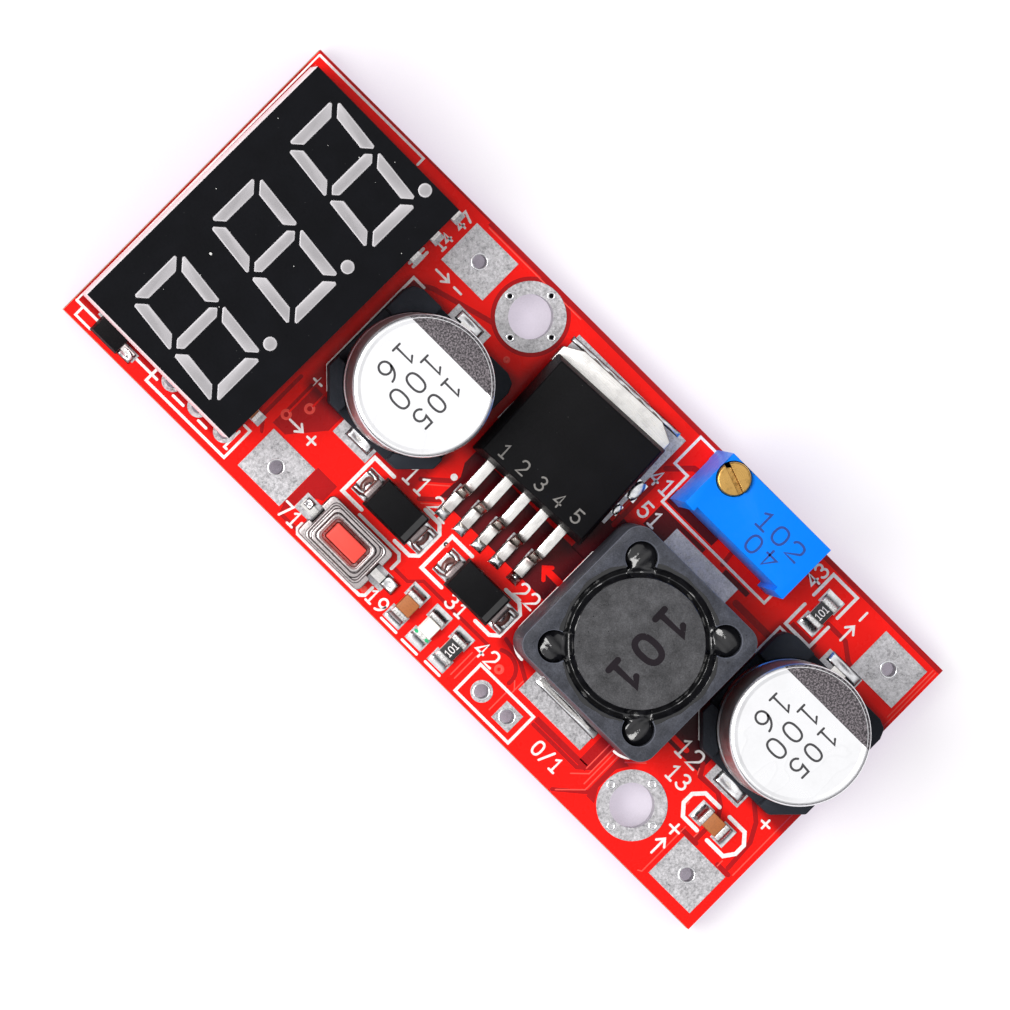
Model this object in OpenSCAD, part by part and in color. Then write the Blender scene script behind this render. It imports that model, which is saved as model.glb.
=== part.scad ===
// Step-down converter board with a three-digit voltage meter: one printed circuit board that
// carries a switching regulator, a shielded choke, two can capacitors, two diodes, a
// multi-turn trimmer, a push switch and small chip parts.
// X runs along the board from the display to the output pads, Y across it, and Z = 0 is
// where the ends of the clipped pins rest. The large parts stand in two chains of sizes and
// gaps, one along the board and one across it, which give the board its length and width.
// Each small part is placed from the middle of the large part that it stands next to.

/* [Board] */
// Thickness of the laminate
board_t = 1.6; // [0.8:0.1:2.4]
// Height of the tinned copper above the laminate
copper_t = 0.05; // [0.03:0.01:0.1]
// Length of the clipped pins below the laminate
pin_stub = 0.8; // [0.6:0.1:1.5]
// Diameter of the round pins that pass through the board
pin_d = 0.5; // [0.4:0.05:0.7]
// Ring of solder between a pin and the wall of its hole
solder_gap = 0.2; // [0.1:0.05:0.3]

/* [Layout] */
// Gap from the left edge to the display
left_margin = 0.18; // [0.1:0.02:1]
// Gap from the display to the input capacitor's base
display_to_can = 1.69; // [1.4:0.01:3]
// Gap from the input capacitor's base to the regulator
can_to_regulator = 0.72; // [0.5:0.01:2]
// Gap from the regulator to the inductor
regulator_to_shield = 1.31; // [1.1:0.01:3]
// Gap from the inductor to the output capacitor's base
shield_to_can = 0.89; // [0.6:0.01:2]
// Gap from the output capacitor's base to the right edge
right_margin = 0.05; // [0.05:0.05:2]
// Gap from the lower edge to the push switch
low_margin = 0.435; // [0.4:0.005:1]
// Gap from the push switch to the diodes
switch_to_diode = 0.945; // [0.8:0.005:2]
// Gap from the diodes to the tips of the regulator's leads
diode_to_leads = 1.44; // [1.3:0.01:3]
// Gap from the regulator's tab to the upper edge
top_margin = 1.78; // [1.7:0.01:4]

/* [Holes] */
// Diameter of the two mounting holes
mount_hole_d = 3.2; // [2.6:0.1:3.6]
// Diameter of the plated ring round a mounting hole
mount_ring_d = 5.05; // [4.4:0.05:5.4]
// Wall of the plated lining in the large holes
lining_wall = 0.2; // [0.17:0.01:0.26]
// First mounting hole, from the input capacitor's middle
hole_a_x = 2.66; // [2.4:0.02:3.2]
// First mounting hole, from the upper edge
hole_a_top = 2.86; // [2.8:0.05:3.3]
// Second mounting hole, from the output capacitor's middle
hole_b_x = -3.82; // [-4.2:0.02:-3.6]
// Second mounting hole, from the lower edge
hole_b_low = 3.39; // [2.8:0.05:3.6]
// Length of a wire pad along the board
wire_pad_l = 4.1; // [3:0.1:4.4]
// Width of a wire pad across the board
wire_pad_w = 3.6; // [2.4:0.1:4]
// Diameter of the hole in a wire pad
wire_hole_d = 1.0; // [0.8:0.1:1.6]
// Input pads, from the input capacitor's middle
in_pad_x = -2.62; // [-3:0.02:-2.4]
// Output pads, from the output capacitor's middle
out_pad_x = 2.4; // [1.8:0.02:2.8]
// Wire pads, from the long edges
wire_pad_edge = 2.65; // [2.1:0.05:2.8]
// Pitch of the jumper holes and of the header holes
header_pitch = 2.54; // [2.3:0.02:2.6]
// Diameter of the jumper and header holes
header_hole_d = 1.0; // [0.8:0.05:1.05]
// Diameter of the rings round the jumper and header holes
header_ring_d = 1.6; // [1.5:0.05:1.8]
// Jumper holes, middle of the pair from the inductor's middle
jumper_x = -3.53; // [-4:0.02:-2.6]
// Jumper holes, from the lower edge
jumper_low = 1.63; // [1.2:0.05:2]
// Header holes under the display, middle hole from the display's middle
header_x = 4.32; // [3.8:0.02:4.6]
// Header holes under the display, from the lower edge
header_low = 1.85; // [1.5:0.05:2]

/* [Display] */
// Length of the display along the board
display_l = 14.0; // [13:0.1:16]
// Width of the display across the board
display_w = 22.5; // [21:0.1:24]
// Height of the display from its underside to its face
display_h = 7.2; // [6:0.1:9]
// Gap under the display, where the meter's own parts lie
display_gap = 1.6; // [1.6:0.1:2.5]
// Turn of the display on the board, in degrees
display_turn = -0.6; // [-1:0.1:1]
// Thickness of the black front layer
face_t = 0.1; // [0.05:0.05:0.3]
// Wall round the pocket that holds the display's own circuit board
display_wall = 0.5; // [0.4:0.1:1]
// Thickness of the display's own circuit board
display_board_t = 1.1; // [0.8:0.1:1.6]
// Black margin above and below the digits
digit_margin = 2.31; // [2:0.01:3]
// Room between a digit and the next, with the decimal point
digit_room = 2.6; // [2.5:0.01:3]
// Shift of the digits toward the display's upper end
digit_shift = 0.1; // [-0.2:0.02:0.2]
// Lean of the digits, in degrees
digit_lean = 6; // [0:1:8]
// Width of one bar of a digit
bar_w = 0.9; // [0.6:0.02:1]
// Gap between two bars of a digit
bar_gap = 0.35; // [0.2:0.01:0.4]
// Length cut off the sharp tips of the bars
bar_tip = 0.3; // [0.1:0.02:0.36]
// Diameter of the decimal points
dot_d = 1.02; // [0.8:0.02:1.1]
// Spacing of the display's two rows of pins
pin_rows = 10.16; // [9.8:0.02:10.4]

/* [Meter] */
// Length of the meter regulator's body across the board
meter_reg_l = 4.5; // [4.2:0.1:4.6]
// Width of the meter regulator's body along the board
meter_reg_w = 2.5; // [2.3:0.1:2.6]
// Height of the meter regulator's body
meter_reg_h = 1.45; // [1.2:0.05:1.5]
// Meter regulator, from the display's middle
meter_reg_x = -3.68; // [-3.8:0.02:-3.4]
// Middle of the meter regulator from the lower edge
meter_reg_low = 2.55; // [2.5:0.05:2.8]
// Length of the meter controller's body across the board
controller_l = 6.5; // [6.4:0.1:7]
// Width of the meter controller's body along the board
controller_w = 4.4; // [4:0.1:4.6]
// Height of the meter controller's body
controller_h = 1.0; // [0.8:0.05:1.2]
// Length of the meter's small chip parts
meter_chip_l = 1.6; // [1.4:0.1:1.7]

/* [Capacitors] */
// Diameter of the capacitor cans
can_d = 10.0; // [8:0.1:11]
// Height of the capacitors above the board
can_h = 10.2; // [7.7:0.1:12]
// Lip of the square base beyond the can
can_lip = 0.15; // [0.1:0.05:0.3]
// Thickness of the capacitor base under the can
can_base_t = 0.9; // [0.7:0.1:1.4]
// Height of the corner posts that hug the can
can_post_h = 2.3; // [1.6:0.1:3]
// Chamfer on the two corners at the positive end
can_chamfer = 1.85; // [1:0.05:2.2]
// Width of the capacitor leads
can_lead_w = 1.1; // [0.8:0.1:1.5]
// Length of a capacitor lead beyond the base
can_lead_out = 0.5; // [0.3:0.05:0.8]
// Input capacitor, from the board's middle line
in_can_y = 0.73; // [0.6:0.01:0.9]
// Output capacitor, from the board's middle line
out_can_y = 1.98; // [1.8:0.01:2.1]

/* [Inductor] */
// Side of the square ferrite shield
shield_side = 12.4; // [11:0.1:13.6]
// Height of the inductor above the board
inductor_h = 8.0; // [6:0.1:9]
// Radius of the shield's upright edges
shield_corner = 1.3; // [0.8:0.1:2]
// Thinnest wall of the shield, in the middle of a side
shield_wall = 0.75; // [0.6:0.05:1]
// Ring of glue between the drum core and the shield
glue_gap = 0.85; // [0.6:0.05:1.1]
// Diameter of the drum core's post
drum_post_d = 4.6; // [3.5:0.1:5.2]
// Thickness of the drum core's flanges
drum_flange_t = 1.1; // [0.8:0.1:1.5]
// Diameter of the winding wire
wire_d = 0.7; // [0.5:0.05:0.9]
// Radius of the four pockets for the wire ends
pocket_r = 1.15; // [0.9:0.05:1.3]
// Height of the plastic base under the shield
inductor_base_t = 0.8; // [0.6:0.1:1.2]
// Inductor, from the board's middle, across the board
inductor_y = -1.3; // [-1.5:0.05:-1.2]

/* [Regulator] */
// Width of the regulator's body
regulator_w = 10.16; // [9.6:0.02:10.4]
// Length of the regulator's body
regulator_l = 9.0; // [8.4:0.1:9.2]
// Height of the regulator's body
regulator_h = 4.4; // [4:0.1:4.8]
// Thickness of the regulator's metal tab
tab_t = 1.27; // [1:0.01:1.5]
// Length of tab that shows beyond the body
tab_out = 1.4; // [1:0.1:1.5]
// Spacing of the regulator's leads
lead_pitch = 1.7; // [1.6:0.01:1.75]
// Width of the regulator's leads
lead_w = 0.8; // [0.6:0.05:0.95]
// Thickness of the regulator's leads
lead_t = 0.5; // [0.35:0.05:0.6]
// Reach of the leads from the body to their tips
lead_reach = 4.35; // [4:0.05:4.5]
// Turn of the regulator on the board, in degrees
regulator_turn = 2.5; // [0:0.5:3]

/* [Diodes] */
// Length of a diode's body
diode_l = 4.2; // [3.8:0.1:4.4]
// Width of a diode's body
diode_w = 2.6; // [2.4:0.1:2.7]
// Height of a diode
diode_h = 2.1; // [1.8:0.1:2.4]
// Length over the diode's leads
diode_span = 5.1; // [4.9:0.1:5.3]
// Width of the diode's leads
diode_lead_w = 1.45; // [1.2:0.05:1.6]
// Input diode, from the input capacitor's middle
in_diode_x = 5.45; // [5.3:0.01:5.8]
// Freewheel diode, from the regulator's middle
wheel_diode_x = 2.55; // [2.4:0.01:3]

/* [Switch] */
// Length of the push switch's cover
switch_l = 6.0; // [5.8:0.1:6.2]
// Width of the push switch's cover
switch_w = 3.65; // [3.4:0.05:3.7]
// Height of the push switch with its button
switch_h = 2.5; // [2.35:0.05:3.5]
// Height of the steel cover at its collar
cover_h = 1.95; // [1.9:0.05:2.05]
// Thickness of the steel cover
cover_t = 0.2; // [0.15:0.05:0.25]
// Length of the button
button_l = 2.8; // [2.4:0.1:3]
// Width of the button
button_w = 1.3; // [1.1:0.05:1.5]
// Gap round the button in the cover's opening
button_gap = 0.25; // [0.1:0.05:0.3]
// Travel of the button
button_travel = 0.25; // [0.15:0.05:0.3]
// Push switch, from the input capacitor's middle
switch_x = 4.45; // [4.3:0.01:4.6]

/* [Trimmer] */
// Length of the trimmer
trimmer_l = 9.6; // [9.4:0.05:9.8]
// Width of the trimmer
trimmer_w = 4.8; // [4.6:0.05:4.9]
// Height of the trimmer's housing above the board
trimmer_h = 10.2; // [9:0.1:11]
// Height of the feet under the trimmer
trimmer_foot_h = 0.5; // [0.3:0.1:0.8]
// Depth of the step in the trimmer's side
trimmer_step = 0.35; // [0.2:0.05:0.5]
// Diameter of the adjusting screw's head
screw_d = 2.4; // [2:0.1:2.4]
// Height of the screw's head above the housing
screw_proud = 0.4; // [0.2:0.1:0.8]
// Middle of the screw from the trimmer's end and side
screw_inset = 1.27; // [1.25:0.01:1.4]
// Running clearance round the screw
screw_fit = 0.05; // [0.03:0.01:0.08]
// Width of the screwdriver slot
slot_w = 0.35; // [0.25:0.05:0.5]
// Turn of the screwdriver slot, in degrees
slot_turn = -20; // [-90:5:90]
// Trimmer, from the inductor's middle
trimmer_x = -0.11; // [-0.5:0.01:0.3]
// Trimmer, from the upper edge
trimmer_top = 2.6; // [2.5:0.01:2.65]

/* [Chip parts] */
// Length of the chip parts
chip_l = 2.0; // [1.8:0.05:2.2]
// Width of the chip parts
chip_w = 1.25; // [1.1:0.05:1.35]
// Length of a chip part's metal end
chip_end = 0.4; // [0.3:0.05:0.5]
// Height of the chip resistors
resistor_h = 0.55; // [0.4:0.05:0.7]
// Height of the chip capacitors
chip_cap_h = 1.1; // [0.8:0.05:1.3]
// Height of the indicator lamp's body
lamp_body_h = 0.4; // [0.3:0.05:0.6]
// Height of the indicator lamp's lens above its body
lamp_lens_h = 0.5; // [0.3:0.05:0.6]
// Indicator lamp, from the regulator's middle
lamp_x = 1.98; // [1.7:0.01:2.2]
// Spacing of the row of three chip parts
chip_row_pitch = 2.19; // [2.1:0.01:2.25]
// Row of three chip parts, from the lower edge
chip_row_low = 2.2; // [2.1:0.05:2.3]
// Divider resistor, from the output capacitor's middle
divider_x = -3.85; // [-4:0.01:-3.6]
// Divider resistor, from the upper edge
divider_top = 3.2; // [3.1:0.05:3.3]
// Output chip capacitor, from the output capacitor's middle
out_chip_x = 1.17; // [0.9:0.01:1.4]
// Output chip capacitor, from the lower edge
out_chip_low = 6.47; // [6.4:0.01:6.5]

/* [Hidden] */
$fn = 64;

board_z = pin_stub;
top_z = board_z + board_t;
seat_z = top_z + copper_t;
pin_hole_d = pin_d + 2 * solder_gap;

can_base = can_d + 2 * can_lip;
can_lead_span = can_base + 2 * can_lead_out;
shield_bore = shield_side - 2 * shield_wall;
drum_d = shield_bore - 2 * glue_gap;
digit_h = display_l - 2 * digit_margin;
digit_pitch = display_w / 3 + 0.07;
digit_w = digit_pitch - digit_room;

// the chain along the board, as distances from its left edge
display_mid = left_margin + display_l / 2;
in_can_mid = display_mid + display_l / 2 + display_to_can + can_base / 2;
regulator_mid = in_can_mid + can_base / 2 + can_to_regulator + regulator_w / 2;
inductor_mid = regulator_mid + regulator_w / 2 + regulator_to_shield + shield_side / 2;
out_can_mid = inductor_mid + shield_side / 2 + shield_to_can + can_base / 2;
board_l = out_can_mid + can_base / 2 + right_margin;
// the chain across the board, as distances from its lower edge
switch_up = low_margin + switch_w / 2;
diode_up = switch_up + switch_w / 2 + switch_to_diode + diode_w / 2;
regulator_up = diode_up + diode_w / 2 + diode_to_leads + lead_reach + regulator_l / 2;
board_w = regulator_up + regulator_l / 2 + tab_out + top_margin;

// places on the board, as distances from its edges
function from_left(d) = d - board_l / 2;
function from_low(d) = d - board_w / 2;
function from_top(d) = board_w / 2 - d;

mount_holes = [
    [from_left(in_can_mid + hole_a_x), from_top(hole_a_top)],
    [from_left(out_can_mid + hole_b_x), from_low(hole_b_low)]
];
wire_holes = [
    for (x = [from_left(in_can_mid + in_pad_x), from_left(out_can_mid + out_pad_x)])
        for (y = [from_low(wire_pad_edge), from_top(wire_pad_edge)]) [x, y]
];
jumper_holes = [
    for (s = [-0.5, 0.5])
        [from_left(inductor_mid + jumper_x) + s * header_pitch, from_low(jumper_low)]
];
header_holes = [
    for (s = [-1, 0, 1])
        [from_left(display_mid + header_x) + s * header_pitch, from_low(header_low)]
];
display_place = [from_left(display_mid), 0];
display_pin_counts = [5, 6];
display_pin_places = [
    for (row = [0, 1]) for (i = [0 : display_pin_counts[row] - 1]) [
        (row - 0.5) * pin_rows,
        (i - (display_pin_counts[row] - 1) / 2) * header_pitch
    ]
];
trimmer_place = [from_left(inductor_mid + trimmer_x), from_top(trimmer_top)];
trimmer_pin_places = [for (s = [-1, 0, 1]) [s * header_pitch, 0]];
in_can_place = [from_left(in_can_mid), in_can_y];
out_can_place = [from_left(out_can_mid), out_can_y];
inductor_place = [from_left(inductor_mid), inductor_y];
regulator_place = [from_left(regulator_mid), from_low(regulator_up)];
in_diode_place = [from_left(in_can_mid + in_diode_x), from_low(diode_up)];
wheel_diode_place = [from_left(regulator_mid + wheel_diode_x), from_low(diode_up)];
switch_place = [from_left(in_can_mid + switch_x), from_low(switch_up)];
lamp_place = [from_left(regulator_mid + lamp_x), from_low(chip_row_low)];
chip_cap_place = lamp_place - [chip_row_pitch, 0];
lamp_resistor_place = lamp_place + [chip_row_pitch, 0];
divider_place = [from_left(out_can_mid + divider_x), from_top(divider_top)];
out_chip_place = [from_left(out_can_mid + out_chip_x), from_low(out_chip_low)];
meter_reg_place = [from_left(display_mid + meter_reg_x), from_low(meter_reg_low)];

// ---- shared forms ----

module at(place, z = 0, turn = 0)
    translate([place[0], place[1], z]) rotate([0, 0, turn]) children();

module slab(l, w, h, z = 0) translate([-l / 2, -w / 2, z]) cube([l, w, h]);

// plate with its four upright edges rounded
module rounded_slab(l, w, h, r, z = 0) {
    slab(l - 2 * r, w, h, z);
    slab(l, w - 2 * r, h, z);
    for (x = [-1, 1], y = [-1, 1])
        translate([x * (l / 2 - r), y * (w / 2 - r), z]) cylinder(r = r, h = h);
}

// moulded block that is widest at its parting line and draws in above and below it
module drafted_block(l, w, h, waist, draft_low, draft_top) {
    intersection() {
        rotate([90, 0, 0]) linear_extrude(w + 1, center = true)
            polygon(draft_profile(l / 2, h, waist, draft_low, draft_top));
        rotate([90, 0, 90]) linear_extrude(l + 1, center = true)
            polygon(draft_profile(w / 2, h, waist, draft_low, draft_top));
    }
}
function draft_profile(half, h, waist, draft_low, draft_top) = [
    [-half + draft_low, 0], [half - draft_low, 0], [half, waist],
    [half - draft_top, h], [-half + draft_top, h], [-half, waist]
];

// outline of a bent strip of thickness t along a path, with its bends rounded by r
function unit(v) = v / norm(v);
function rounded_path(p, r, steps = 4) = concat(
    [p[0]],
    [
        for (i = [1 : len(p) - 2])
            let (a = p[i] + r * unit(p[i - 1] - p[i]), b = p[i] + r * unit(p[i + 1] - p[i]))
                for (k = [0 : steps]) let (t = k / steps)
                    (1 - t) ^ 2 * a + 2 * t * (1 - t) * p[i] + t ^ 2 * b
    ],
    [p[len(p) - 1]]
);
function heading(p, i) = unit(p[min(i + 1, len(p) - 1)] - p[min(i, len(p) - 2)]);
function mitre(p, i) =
    let (a = heading(p, max(i - 1, 0)), b = heading(p, i)) [-a[1] - b[1], a[0] + b[0]] / (1 + a * b);
function strip_outline(p, t) = concat(
    [for (i = [0 : len(p) - 1]) p[i] + t / 2 * mitre(p, i)],
    [for (i = [len(p) - 1 : -1 : 0]) p[i] - t / 2 * mitre(p, i)]
);
// bent strip that runs along X, with its path given as [x, z]
module bent_strip(path, t, w, r)
    rotate([90, 0, 0]) linear_extrude(w, center = true)
        polygon(strip_outline(rounded_path(path, r), t));

// points on a quarter round from angle a to angle b
function arc(x, z, r, a, b, steps = 6) = [
    for (k = [0 : steps]) let (t = a + (b - a) * k / steps) [x + r * cos(t), z + r * sin(t)]
];

// plated hole: a lining with a ring of copper on each face
module plated_hole(bore_d, ring_d, wall, square_l = 0, square_w = 0) {
    difference() {
        union() {
            translate([0, 0, board_z]) cylinder(d = bore_d + 2 * wall, h = board_t);
            for (z = [board_z - copper_t, top_z])
                if (square_l > 0) slab(square_l, square_w, copper_t, z);
                else translate([0, 0, z]) cylinder(d = ring_d, h = copper_t);
        }
        translate([0, 0, board_z - 1]) cylinder(d = bore_d, h = board_t + 2);
    }
}

// ---- board ----

module circuit_board() color("firebrick") difference() {
    slab(board_l, board_w, board_t, board_z);
    for (p = mount_holes) board_hole(p, mount_hole_d + 2 * lining_wall);
    for (p = wire_holes) board_hole(p, wire_hole_d + 2 * lining_wall);
    for (p = concat(jumper_holes, header_holes)) board_hole(p, header_hole_d + 2 * lining_wall);
    at(display_place, 0, display_turn) for (p = display_pin_places) board_hole(p, pin_hole_d);
    at(trimmer_place) for (p = trimmer_pin_places) board_hole(p, pin_hole_d);
}
module board_hole(p, d) translate([p[0], p[1], board_z - 1]) cylinder(d = d, h = board_t + 2);

module mounting_hole_linings() color("silver")
    for (p = mount_holes) at(p) plated_hole(mount_hole_d, mount_ring_d, lining_wall);

module wire_pads() color("silver") for (p = wire_holes)
    at(p) plated_hole(wire_hole_d, 0, lining_wall, wire_pad_l, wire_pad_w);

module jumper_hole_linings() color("silver") {
    at(jumper_holes[0]) plated_hole(header_hole_d, header_ring_d, lining_wall);
    at(jumper_holes[1])
        plated_hole(header_hole_d, 0, lining_wall, header_ring_d, header_ring_d);
}

module header_hole_linings() color("silver")
    for (p = header_holes) at(p) plated_hole(header_hole_d, header_ring_d, lining_wall);

module land(x, y, l, w) translate([x, y, top_z]) slab(l, w, copper_t);

capacitor_land_w = 3.2;
capacitor_land_in = 2.4;
capacitor_land_out = 0.65;
module capacitor_lands(place) {
    reach = can_lead_span / 2 + capacitor_land_out;
    at(place) for (s = [-1, 1])
        land(0, s * (reach + capacitor_land_in) / 2, capacitor_land_w, reach - capacitor_land_in);
}

diode_land_l = 1.75;
diode_land_w = 2.1;
diode_land_out = 0.75;
module diode_lands(place) at(place) for (s = [-1, 1])
    land(s * (diode_span / 2 + diode_land_out - diode_land_l / 2), 0, diode_land_l, diode_land_w);

chip_land_l = 1.15;
chip_land_w = 1.55;
chip_land_out = 0.65;
module chip_lands(place, turn) at(place, 0, turn) for (s = [-1, 1])
    land(s * (chip_l / 2 + chip_land_out - chip_land_l / 2), 0, chip_land_l, chip_land_w);

inductor_land_w = 6.1;
inductor_land_l = 3.6;
inductor_land_out = 1.75;
regulator_land_edge = 0.45;
regulator_land_side = 0.33;
regulator_land_l = 8.2;
regulator_foot_land_l = 2.4;
regulator_foot_land_out = 0.35;
switch_land_l = 1.5;
switch_land_w = 1.4;
controller_land_l = 1.1;
module solder_lands() color("silver") {
    capacitor_lands(in_can_place);
    capacitor_lands(out_can_place);
    diode_lands(in_diode_place);
    diode_lands(wheel_diode_place);
    for (p = [chip_cap_place, lamp_place, lamp_resistor_place, divider_place]) chip_lands(p, 90);
    chip_lands(out_chip_place, 0);
    at(inductor_place) for (s = [-1, 1])
        land(0, s * (shield_side / 2 + inductor_land_out - inductor_land_l / 2),
            inductor_land_w, inductor_land_l);
    at(regulator_place)
        land(regulator_land_side,
            regulator_l / 2 + tab_out + regulator_land_edge - regulator_land_l / 2,
            regulator_w + regulator_land_edge, regulator_land_l);
    at(regulator_place, 0, regulator_turn) for (i = [-2 : 2])
        land(i * lead_pitch,
            -regulator_l / 2 - lead_reach - regulator_foot_land_out + regulator_foot_land_l / 2,
            lead_w + 0.14, regulator_foot_land_l);
    at(switch_place) for (s = [-1, 1])
        land(s * (switch_l / 2 + switch_lead_out + 0.2 - switch_land_l / 2), 0,
            switch_land_l, switch_land_w);
    at(meter_reg_place) {
        for (i = [-1 : 1])
            land(meter_reg_w / 2 + 0.65, i * meter_reg_pitch, 1.3, 0.7);
        land(-0.6, 0, 1.9, 2.2);
    }
    at(display_place) for (s = [-1, 1], i = [0 : controller_side_leads - 1])
        land(s * (controller_span / 2 - 0.3), controller_lead_y(i), controller_land_l, 0.35);
    for (p = meter_chip_places) at(p) for (s = [-1, 1])
        land(s * (meter_chip_l / 2 - 0.05), 0, 0.9, 0.9);
}

joint_r = 0.85;
joint_h = 0.45;
// solder that fills a pin's hole, with a ring on the top face and a cone on the underside
module pin_joint() rotate_extrude() polygon([
    [pin_d / 2, board_z - joint_h], [pin_d / 2 + 0.12, board_z - joint_h],
    [joint_r * 0.6, board_z - joint_h * 0.35], [joint_r, board_z],
    [pin_hole_d / 2, board_z], [pin_hole_d / 2, top_z], [joint_r - 0.05, top_z],
    [joint_r - 0.05, seat_z], [pin_d / 2, seat_z]
]);
module pin_solder_joints() color("silver") {
    at(display_place, 0, display_turn) for (p = display_pin_places) at(p) pin_joint();
    at(trimmer_place) for (p = trimmer_pin_places) at(p) pin_joint();
}

// ---- display ----

bar_mitre = bar_gap * sqrt(0.5);
bar_out_x = digit_w / 2;
bar_out_y = digit_h / 2;
bar_in_x = bar_out_x - bar_w;
bar_mid_x = bar_out_x - bar_w / 2;
function toward(p, q, d) = p + d * (q - p) / norm(q - p);
// an outline with its sharp corners cut off
function blunted(points, d) = [
    for (i = [0 : len(points) - 1])
        let (
            p = points[i],
            a = points[(i + len(points) - 1) % len(points)],
            b = points[(i + 1) % len(points)],
            c = (a - p) * (b - p) / norm(a - p) / norm(b - p)
        )
        each (c > 0.5 ? [toward(p, a, d), toward(p, b, d)] : [p])
];
dot_x = digit_w / 2 + dot_d / 2 - 0.15;
dot_y = -(bar_out_y - bar_w / 2 + 0.1);
// bars of a digit that stands upright, before it leans
end_bar = blunted([
    [-bar_out_x + bar_mitre, bar_out_y], [bar_out_x - bar_mitre, bar_out_y],
    [bar_in_x - bar_mitre, bar_out_y - bar_w], [-bar_in_x + bar_mitre, bar_out_y - bar_w]
], bar_tip);
middle_bar = [
    [-bar_mid_x, 0], [-bar_in_x, bar_w / 2], [bar_in_x, bar_w / 2],
    [bar_mid_x, 0], [bar_in_x, -bar_w / 2], [-bar_in_x, -bar_w / 2]
];
side_bar = blunted([
    [bar_out_x, bar_out_y - bar_mitre], [bar_out_x, 0],
    [bar_in_x, bar_w], [bar_in_x, bar_out_y - bar_w - bar_mitre]
], bar_tip);
function flip(points, sx, sy) = [for (p = points) [sx * p[0], sy * p[1]]];
digit_bars = concat(
    [end_bar, flip(end_bar, 1, -1), middle_bar],
    [for (sx = [-1, 1], sy = [-1, 1]) flip(side_bar, sx, sy)]
);
// a digit's up is -X on the board and its right is +Y
function leaning(p) = [-p[1], p[0] + p[1] * tan(digit_lean)];
function middle(points) = [for (k = [0, 1]) let (c = [for (p = points) p[k]]) (min(c) + max(c)) / 2];
bars_by_digit = [for (bar = digit_bars) [for (p = bar) leaning(p)]];
dot_place = [-dot_y, dot_x];
module each_digit() for (i = [-1 : 1])
    translate([0, i * digit_pitch + digit_shift, 0]) children();

// the bars and points as upright prisms
module bar_prisms(h, grow = 0) each_digit() {
    for (bar = bars_by_digit) linear_extrude(h) polygon(bar);
    translate(dot_place) cylinder(d = dot_d, h = h);
}

display_z = top_z + display_gap;
well_floor = display_board_t;
lamp_chip = 0.3;
lamp_chip_h = 0.15;
display_fit = 0.05;
module display_housing() color("ghostwhite") at(display_place, display_z, display_turn)
    difference() {
        slab(display_l, display_w, display_h - face_t);
        slab(display_l - 2 * display_wall, display_w - 2 * display_wall, display_board_t, 0);
        translate([0, 0, well_floor - 0.01]) bar_prisms(display_h);
    }

module display_face() color([0.07, 0.08, 0.1]) at(display_place, display_z, display_turn)
    difference() {
        slab(display_l, display_w, face_t, display_h - face_t);
        translate([0, 0, display_h - face_t - 1]) bar_prisms(2);
    }

module display_bars() color("lightgray") at(display_place, display_z, display_turn)
    translate([0, 0, well_floor + lamp_chip_h])
        bar_prisms(display_h - well_floor - lamp_chip_h);

module display_circuit_board() color("darkgreen") at(display_place, display_z, display_turn)
    slab(display_l - 2 * (display_wall + display_fit),
        display_w - 2 * (display_wall + display_fit), display_board_t);

module display_lamp_chips() color("gold")
    at(display_place, display_z + display_board_t, display_turn) each_digit() {
        for (bar = bars_by_digit) translate(middle(bar)) slab(lamp_chip, lamp_chip, lamp_chip_h);
        translate(dot_place) slab(lamp_chip, lamp_chip, lamp_chip_h);
    }

module display_pins() color("silver") at(display_place, 0, display_turn)
    for (p = display_pin_places) at(p) cylinder(d = pin_d, h = display_z);

// ---- meter parts under the display ----

meter_reg_pitch = 1.5;
meter_reg_lead_w = 0.45;
meter_reg_lead_t = 0.4;
meter_reg_lead_out = 1.0;
module meter_regulator_body() color([0.1, 0.1, 0.11]) at(meter_reg_place, seat_z)
    difference() {
        drafted_block(meter_reg_w, meter_reg_l, meter_reg_h, meter_reg_lead_t, 0, 0.12);
        for (i = [-1 : 1]) meter_reg_lead(i);
        meter_reg_tab();
    }
module meter_reg_lead(i)
    translate([meter_reg_w / 2 - 0.3, i * meter_reg_pitch - meter_reg_lead_w / 2, 0])
        cube([meter_reg_lead_out + 0.3, meter_reg_lead_w, meter_reg_lead_t]);
module meter_reg_tab() translate([-meter_reg_w / 2 - 0.3, -0.8, 0])
    cube([1.5, 1.6, meter_reg_lead_t]);
module meter_regulator_leads() color("silver") at(meter_reg_place, seat_z) {
    for (i = [-1 : 1]) meter_reg_lead(i);
    meter_reg_tab();
}

controller_side_leads = 10;
controller_pitch = 0.65;
controller_lead_out = 1;
controller_span = controller_w + 2 * controller_lead_out;
controller_lead_t = 0.15;
controller_lead_z = 0.55;
function controller_lead_y(i) = (i - (controller_side_leads - 1) / 2) * controller_pitch;
module meter_controller_body() color([0.1, 0.1, 0.11]) at(display_place, seat_z + 0.1)
    drafted_block(controller_w, controller_l, controller_h, controller_h / 2, 0.1, 0.1);
module meter_controller_leads() color("silver") at(display_place, seat_z)
    for (s = [0, 1], i = [0 : controller_side_leads - 1])
        mirror([s, 0, 0]) translate([0, controller_lead_y(i), 0]) bent_strip([
            [controller_w / 2 - 0.02, controller_h / 2 + 0.1],
            [controller_w / 2 + 0.4, controller_h / 2 + 0.1],
            [controller_span / 2 - 0.55, controller_lead_t / 2],
            [controller_span / 2, controller_lead_t / 2]
        ], controller_lead_t, 0.22, 0.1);

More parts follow.
